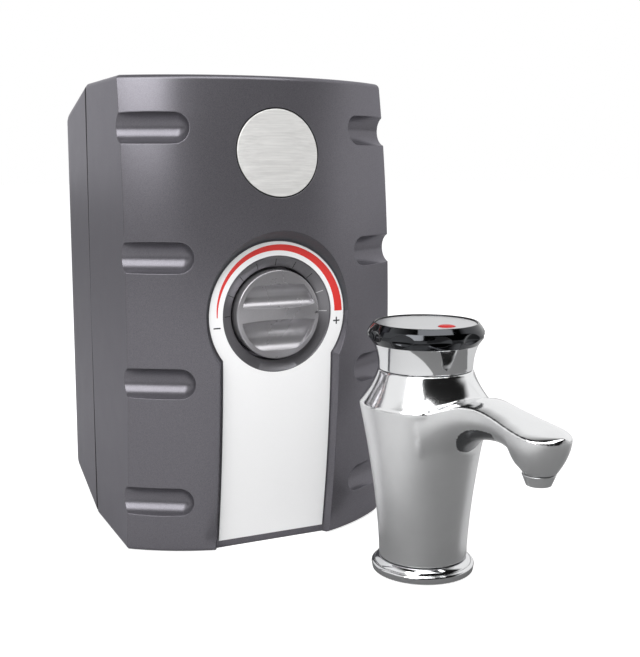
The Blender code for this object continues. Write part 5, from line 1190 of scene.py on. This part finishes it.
def melted(obj):
    """One even skin over the joined casting, smoothed further round the root of the spout."""
    remesh = obj.modifiers.new("skin", "REMESH")
    remesh.mode = "VOXEL"
    remesh.voxel_size = CASTING_SKIN
    settle(obj)
    root = obj.vertex_groups.new(name="root")
    for vertex in obj.data.vertices:
        share = root_share(vertex.co)
        if share > 0:
            root.add([vertex.index], share, "REPLACE")
    for group, rounds in (("", EVEN_ROUNDS), (root.name, ROOT_ROUNDS)):
        smooth = obj.modifiers.new("smooth", "SMOOTH")
        smooth.iterations = rounds
        smooth.vertex_group = group
    settle(obj)
    obj.vertex_groups.clear()


def faucet_body():
    body = turned("faucet_casting", column_profile(), FAUCET, FINE)
    combine(body, [skinned("spout", [spout_rings()], FAUCET)], "UNION")
    melted(body)
    seat = OUTLET_Z + NOZZLE_SPIGOT + GAP
    cutters = [
        rod(VALVE_BORE_RADIUS, VALVE_FLOOR_Z, NECK_Z + OVERRUN, FAUCET),
        rod(SOCKET_RADIUS + GAP, 0, SOCKET_TOP_Z + GAP, FAUCET),
        rod(NOZZLE_SPIGOT_RADIUS + GAP, OUTLET_Z - OVERRUN, seat, OUTLET),
    ]
    combine(body, cutters)
    dress(body, UNIT, "chrome", "faucet_body", look=BODY_METAL, angle=30)
    two_tone(body, SATIN_METAL, lambda _, normal: normal.z < SLIGHT)
    # Painted shade: downward faces in the hollow under the spout get a dark chrome
    two_tone(body, ARCH_PAINTED_SHADE, under_spout_painted_shade)


def base_flange():
    top = COLUMN_FOOT_Z - GAP
    inner = COLUMN_FOOT_RADIUS + GAP
    width = FOOT_RADIUS - FOOT_ROUND - inner
    fall = top - FOOT_RIM_Z
    cove = [(inner + width * sin(t), top - fall * (1 - cos(t)) ** COVE_POWER) for t in quarter(14)]
    turns = spread(radians(90), radians(-20), 12)[1:]
    rim = [(FOOT_RADIUS - FOOT_ROUND * (1 - cos(t)), FOOT_RIM_Z - FOOT_ROUND * (1 - sin(t))) for t in turns]
    under = stairs(
        FOOT_RADIUS - FOOT_ROUND / 3, FOOT_CLEAR_Z, GASKET_OUTER_RADIUS + GAP, GASKET_THICKNESS + GAP,
        GASKET_INNER_RADIUS - GAP, FOOT_CLEAR_Z, FOOT_BORE_RADIUS, top,
    )
    dress(turned("foot_ring", cove + rim + under, FAUCET, FINE), UNIT, "chrome", "base_flange", angle=40)


def knob():
    rise = KNOB_RING_FOOT_Z - KNOB_FOOT_Z
    flare = KNOB_RING_FOOT_RADIUS - KNOB_FOOT_RADIUS
    shares = spread(1, 0, 16)[1:]
    skirt = [(KNOB_FOOT_RADIUS + flare * s**SKIRT_POWER, KNOB_FOOT_Z + rise * s) for s in shares]
    out = KNOB_TOP_RADIUS + (KNOB_RING_RADIUS - KNOB_TOP_RADIUS) * KNOB_CHAMFER[0]
    ring = [
        (KNOB_TOP_RADIUS, KNOB_TOP_Z),
        (out, KNOB_RING_Z + (KNOB_TOP_Z - KNOB_RING_Z) * KNOB_CHAMFER[1]),
        (KNOB_RING_RADIUS, KNOB_RING_Z + KNOB_LIP),
        (KNOB_RING_RADIUS, KNOB_RING_Z - KNOB_LIP),
        (KNOB_RING_FOOT_RADIUS, KNOB_RING_FOOT_Z),
    ]
    seat = KNOB_TOP_RADIUS - KNOB_LIP
    outer = rounded([(seat, CAP_FLOOR_Z), (seat, KNOB_TOP_Z), *ring, skirt[0]], KNOB_ROUND)
    inner = KNOB_FOOT_RADIUS - KNOB_WALL
    bore = STEM_RADIUS + GAP
    inside = stairs(inner, KNOB_WEB_Z, KNOB_HUB_RADIUS, KNOB_HUB_FOOT_Z, bore, STEM_TOP_Z + GAP, 0)
    foot = rounded([skirt[-3], skirt[-1], (inner, KNOB_FOOT_Z)], NECK_ROUND)
    profile = [(0, CAP_FLOOR_Z), *outer, *skirt[1:-2], *foot[1:-1], (inner, KNOB_FOOT_Z), *inside]
    body = turned("knob_grip", profile, FAUCET, FINE)
    out = move(y=KNOB_RING_RADIUS - SCALLOP_DEPTH + SCALLOP_SIZE[1], z=KNOB_RING_Z - SCALLOP_DROP)
    bm = bmesh.new()
    for i in range(SCALLOP_COUNT):
        around = Matrix.Rotation(2 * pi * (i + SCALLOP_PHASE) / SCALLOP_COUNT, 4, "Z")
        matrix = around @ out @ Matrix.Diagonal((*SCALLOP_SIZE, 1))
        bmesh.ops.create_uvsphere(bm, u_segments=40, v_segments=24, radius=1, matrix=matrix)
    cutters = [
        built("scallops", bm, FAUCET),
        rod(KNOB_SCREW_HEAD_RADIUS + GAP, CAP_FLOOR_Z - KNOB_SCREW_WELL, KNOB_TOP_Z, FAUCET),
        rod(KNOB_SCREW_RADIUS + GAP, STEM_TOP_Z, CAP_FLOOR_Z, FAUCET, COARSE),
    ]
    combine(body, cutters)
    dress(body, KNOB, "chrome", "knob", angle=40)
    # Painted dark reflection: the chrome ring above its foot gets a nearly black chrome
    two_tone(body, RING_PAINTED_REFLECTION, lambda centre, _: centre.z > KNOB_RING_FOOT_Z)


def knob_cap():
    low = CAP_FLOOR_Z + GAP
    high = low + CAP_THICKNESS
    radius = KNOB_TOP_RADIUS - KNOB_LIP - GAP
    dish = [(radius * CAP_DISH * s, high - CAP_HOLLOW * (1 - s**2)) for s in spread(0, 1, 16)]
    cap = turned("cap_disc", [*dish, (radius, high - CAP_EDGE), *stairs(radius, low, 0)], FAUCET, FINE)
    matrix = FAUCET @ move(y=-INDICATOR_OFFSET)
    combine(cap, [rod(INDICATOR_RADIUS + GAP, low - OVERRUN, high + OVERRUN, matrix, MIDDLE)])
    dress(cap, KNOB, "chrome", "knob_cap", look=CAP_METAL)
    dome = [(INDICATOR_RADIUS * sin(t), high - CAP_EDGE + INDICATOR_DOME * cos(t)) for t in quarter(10)]
    dot = turned("red_dot", [*dome, *stairs(INDICATOR_RADIUS, low, 0)], matrix, MIDDLE)
    dress(dot, KNOB, "indicator_red", "hot_indicator")


def nozzle():
    top = OUTLET_Z - GAP
    spigot = OUTLET_Z + NOZZLE_SPIGOT
    outside = [(NOZZLE_SPIGOT_RADIUS, spigot), *stairs(NOZZLE_SPIGOT_RADIUS, top, OUTLET_RADIUS)]
    profile = [*outside, *stairs(NOZZLE_FOOT_RADIUS, NOZZLE_FOOT_Z, NOZZLE_BORE_RADIUS, spigot)]
    ring = turned("outlet_ring", rounded(profile, NOZZLE_ROUND, 4), OUTLET, FINE)
    dress(ring, UNIT, "chrome", "nozzle", look=SATIN_METAL)


def inner_nodes():
    """Materials for the CAD nodes that stay."""
    kept = {
        "stainless_steel": ("dial_spindle", "hot_tank", "heating_element", "valve_stem", "return_spring"),
        "zinc_steel": ("thermostat_bracket", "knob_screw"),
        "brass": ("element_flange", "shank_socket", "valve_cartridge", "cartridge_nut"),
        "white_foam": ("insulation_front", "insulation_rear"),
        "black_rubber": ("drain_seal", "base_gasket", "stem_o_ring"),
        "black_plastic": ("thermostat_body", "thermal_fuse", "nozzle_screen"),
        "white_plastic": ("expansion_chamber",),
    }
    for slot, names in kept.items():
        for name in names:
            for material_slot in frame["nodes"][name].material_slots:
                material_slot.material = LOOKS[slot]


# Stage, lights and camera


def floor():
    """A pale floor that keeps the shadow and is lifted to white for the camera."""
    bm = bmesh.new()
    bmesh.ops.create_grid(bm, x_segments=1, y_segments=1, size=FLOOR_REACH)
    ground = built("floor", bm, move(z=-FLOOR_SINK))
    look, tree, shader = principled("floor_white", (FLOOR_GREY,) * 3, 0.9)
    seen = tree.nodes.new("ShaderNodeLightPath").outputs["Is Camera Ray"]
    glow = node(tree, "Emission", (1, 1, 1, 1), node(tree, "Math", seen, FLOOR_GLOW, operation="MULTIPLY"))
    total = node(tree, "AddShader", shader.outputs["BSDF"], glow)
    tree.links.new(total, tree.nodes["Material Output"].inputs["Surface"])
    ground.data.materials.append(look)


def card():
    """A dark card on the floor in front, which only shows in gloss."""
    flag = skinned("card", [[[(*corner, CARD_Z) for corner in CARD]]], caps=(0,))
    flag.data.materials.append(principled("card_grey", (CARD_GREY,) * 3, 0.9)[0])
    for ray in ("camera", "diffuse", "transmission", "volume_scatter", "shadow"):
        setattr(flag, "visible_" + ray, False)


def world():
    """An even white studio, with a dark side in front and overhead that only shines in gloss."""
    sky = bpy.data.worlds.new("studio")
    bpy.context.scene.world = sky
    sky.use_nodes = True
    tree = sky.node_tree

    def sums(operation, *values):
        return node(tree, "Math", *values, operation=operation)

    def ranged(value, *limits):
        return node(tree, "MapRange", value, *limits)

    parts = tree.nodes.new("ShaderNodeSeparateXYZ")
    tree.links.new(tree.nodes.new("ShaderNodeTexCoord").outputs["Generated"], parts.inputs[0])
    x, y, z = parts.outputs
    turn = sums("SUBTRACT", sums("ARCTAN2", x, sums("MULTIPLY", y, -1.0)), DARK_AZIMUTH)
    aside = ranged(sums("ABSOLUTE", turn), *DARK_SIDE, 0.0, 1.0)
    below = ranged(z, *DARK_CEILING, 1.0, 0.0)
    high = ranged(z, *DARK_FOOT, 0.0, 1.0)
    upper = sums("MULTIPLY", sums("MULTIPLY", aside, below), high)
    across = sums("ADD", sums("MULTIPLY", x, BACKDROP_SIDE[0]), sums("MULTIPLY", y, BACKDROP_SIDE[1]))
    lower = sums("MULTIPLY", ranged(across, *BACKDROP, 0.0, 1.0), ranged(z, *LOW_BAND, 1.0, 0.0))
    studio = ranged(sums("MAXIMUM", upper, lower), 0.0, 1.0, DARK_LEVEL, 1.0)
    path = tree.nodes.new("ShaderNodeLightPath").outputs
    gloss = sums("MAXIMUM", path["Is Glossy Ray"], path["Is Transmission Ray"])
    level = ranged(gloss, 0.0, 1.0, WORLD_LIGHT, studio)
    level = ranged(path["Is Camera Ray"], 0.0, 1.0, level, 1.0)
    back = tree.nodes["Background"]
    back.inputs["Color"].default_value = (1, 1, 1, 1)
    tree.links.new(level, back.inputs["Strength"])


def lamp(name, spot, size, power):
    """A soft rectangular lamp that faces the dispenser."""
    light = bpy.data.lights.new(name, "AREA")
    light.shape = "RECTANGLE"
    light.size, light.size_y = size
    light.energy = power
    obj = place(name, light)
    obj.location = spot
    obj.rotation_euler = (Vector(LAMP_TARGET) - Vector(spot)).to_track_quat("-Z", "Y").to_euler()
    obj.visible_camera = False
    return obj


def camera():
    data = bpy.data.cameras.new("camera")
    data.sensor_width = 36
    data.lens = CAMERA_LENS
    data.clip_start = 0.01
    obj = place("camera", data)
    obj.location = CAMERA_PLACE
    obj.rotation_euler = (radians(90 - CAMERA_PITCH), 0, radians(-CAMERA_YAW))
    bpy.context.scene.camera = obj


camera()
world()
floor()
card()
lamp("key", (-1.329, -1.046, 1.447), (1.1, 1.65), 29)
lamp("fill", (1.5, -1.1, 0.8), (2.0, 2.0), 7).visible_glossy = False
lamp("top", (0.12, -0.70, 1.60), (1.3, 0.8), 12)
bpy.context.scene.view_settings.view_transform = "Standard"

front_shell()
rear_shell()
label_plate()
label_prints()
dial_marks()
badge_disc()
temperature_dial()
ports()
drain_plug()
housing_screws()
wall_bracket()
cord_gland()
faucet_body()
base_flange()
knob()
knob_cap()
nozzle()
inner_nodes()
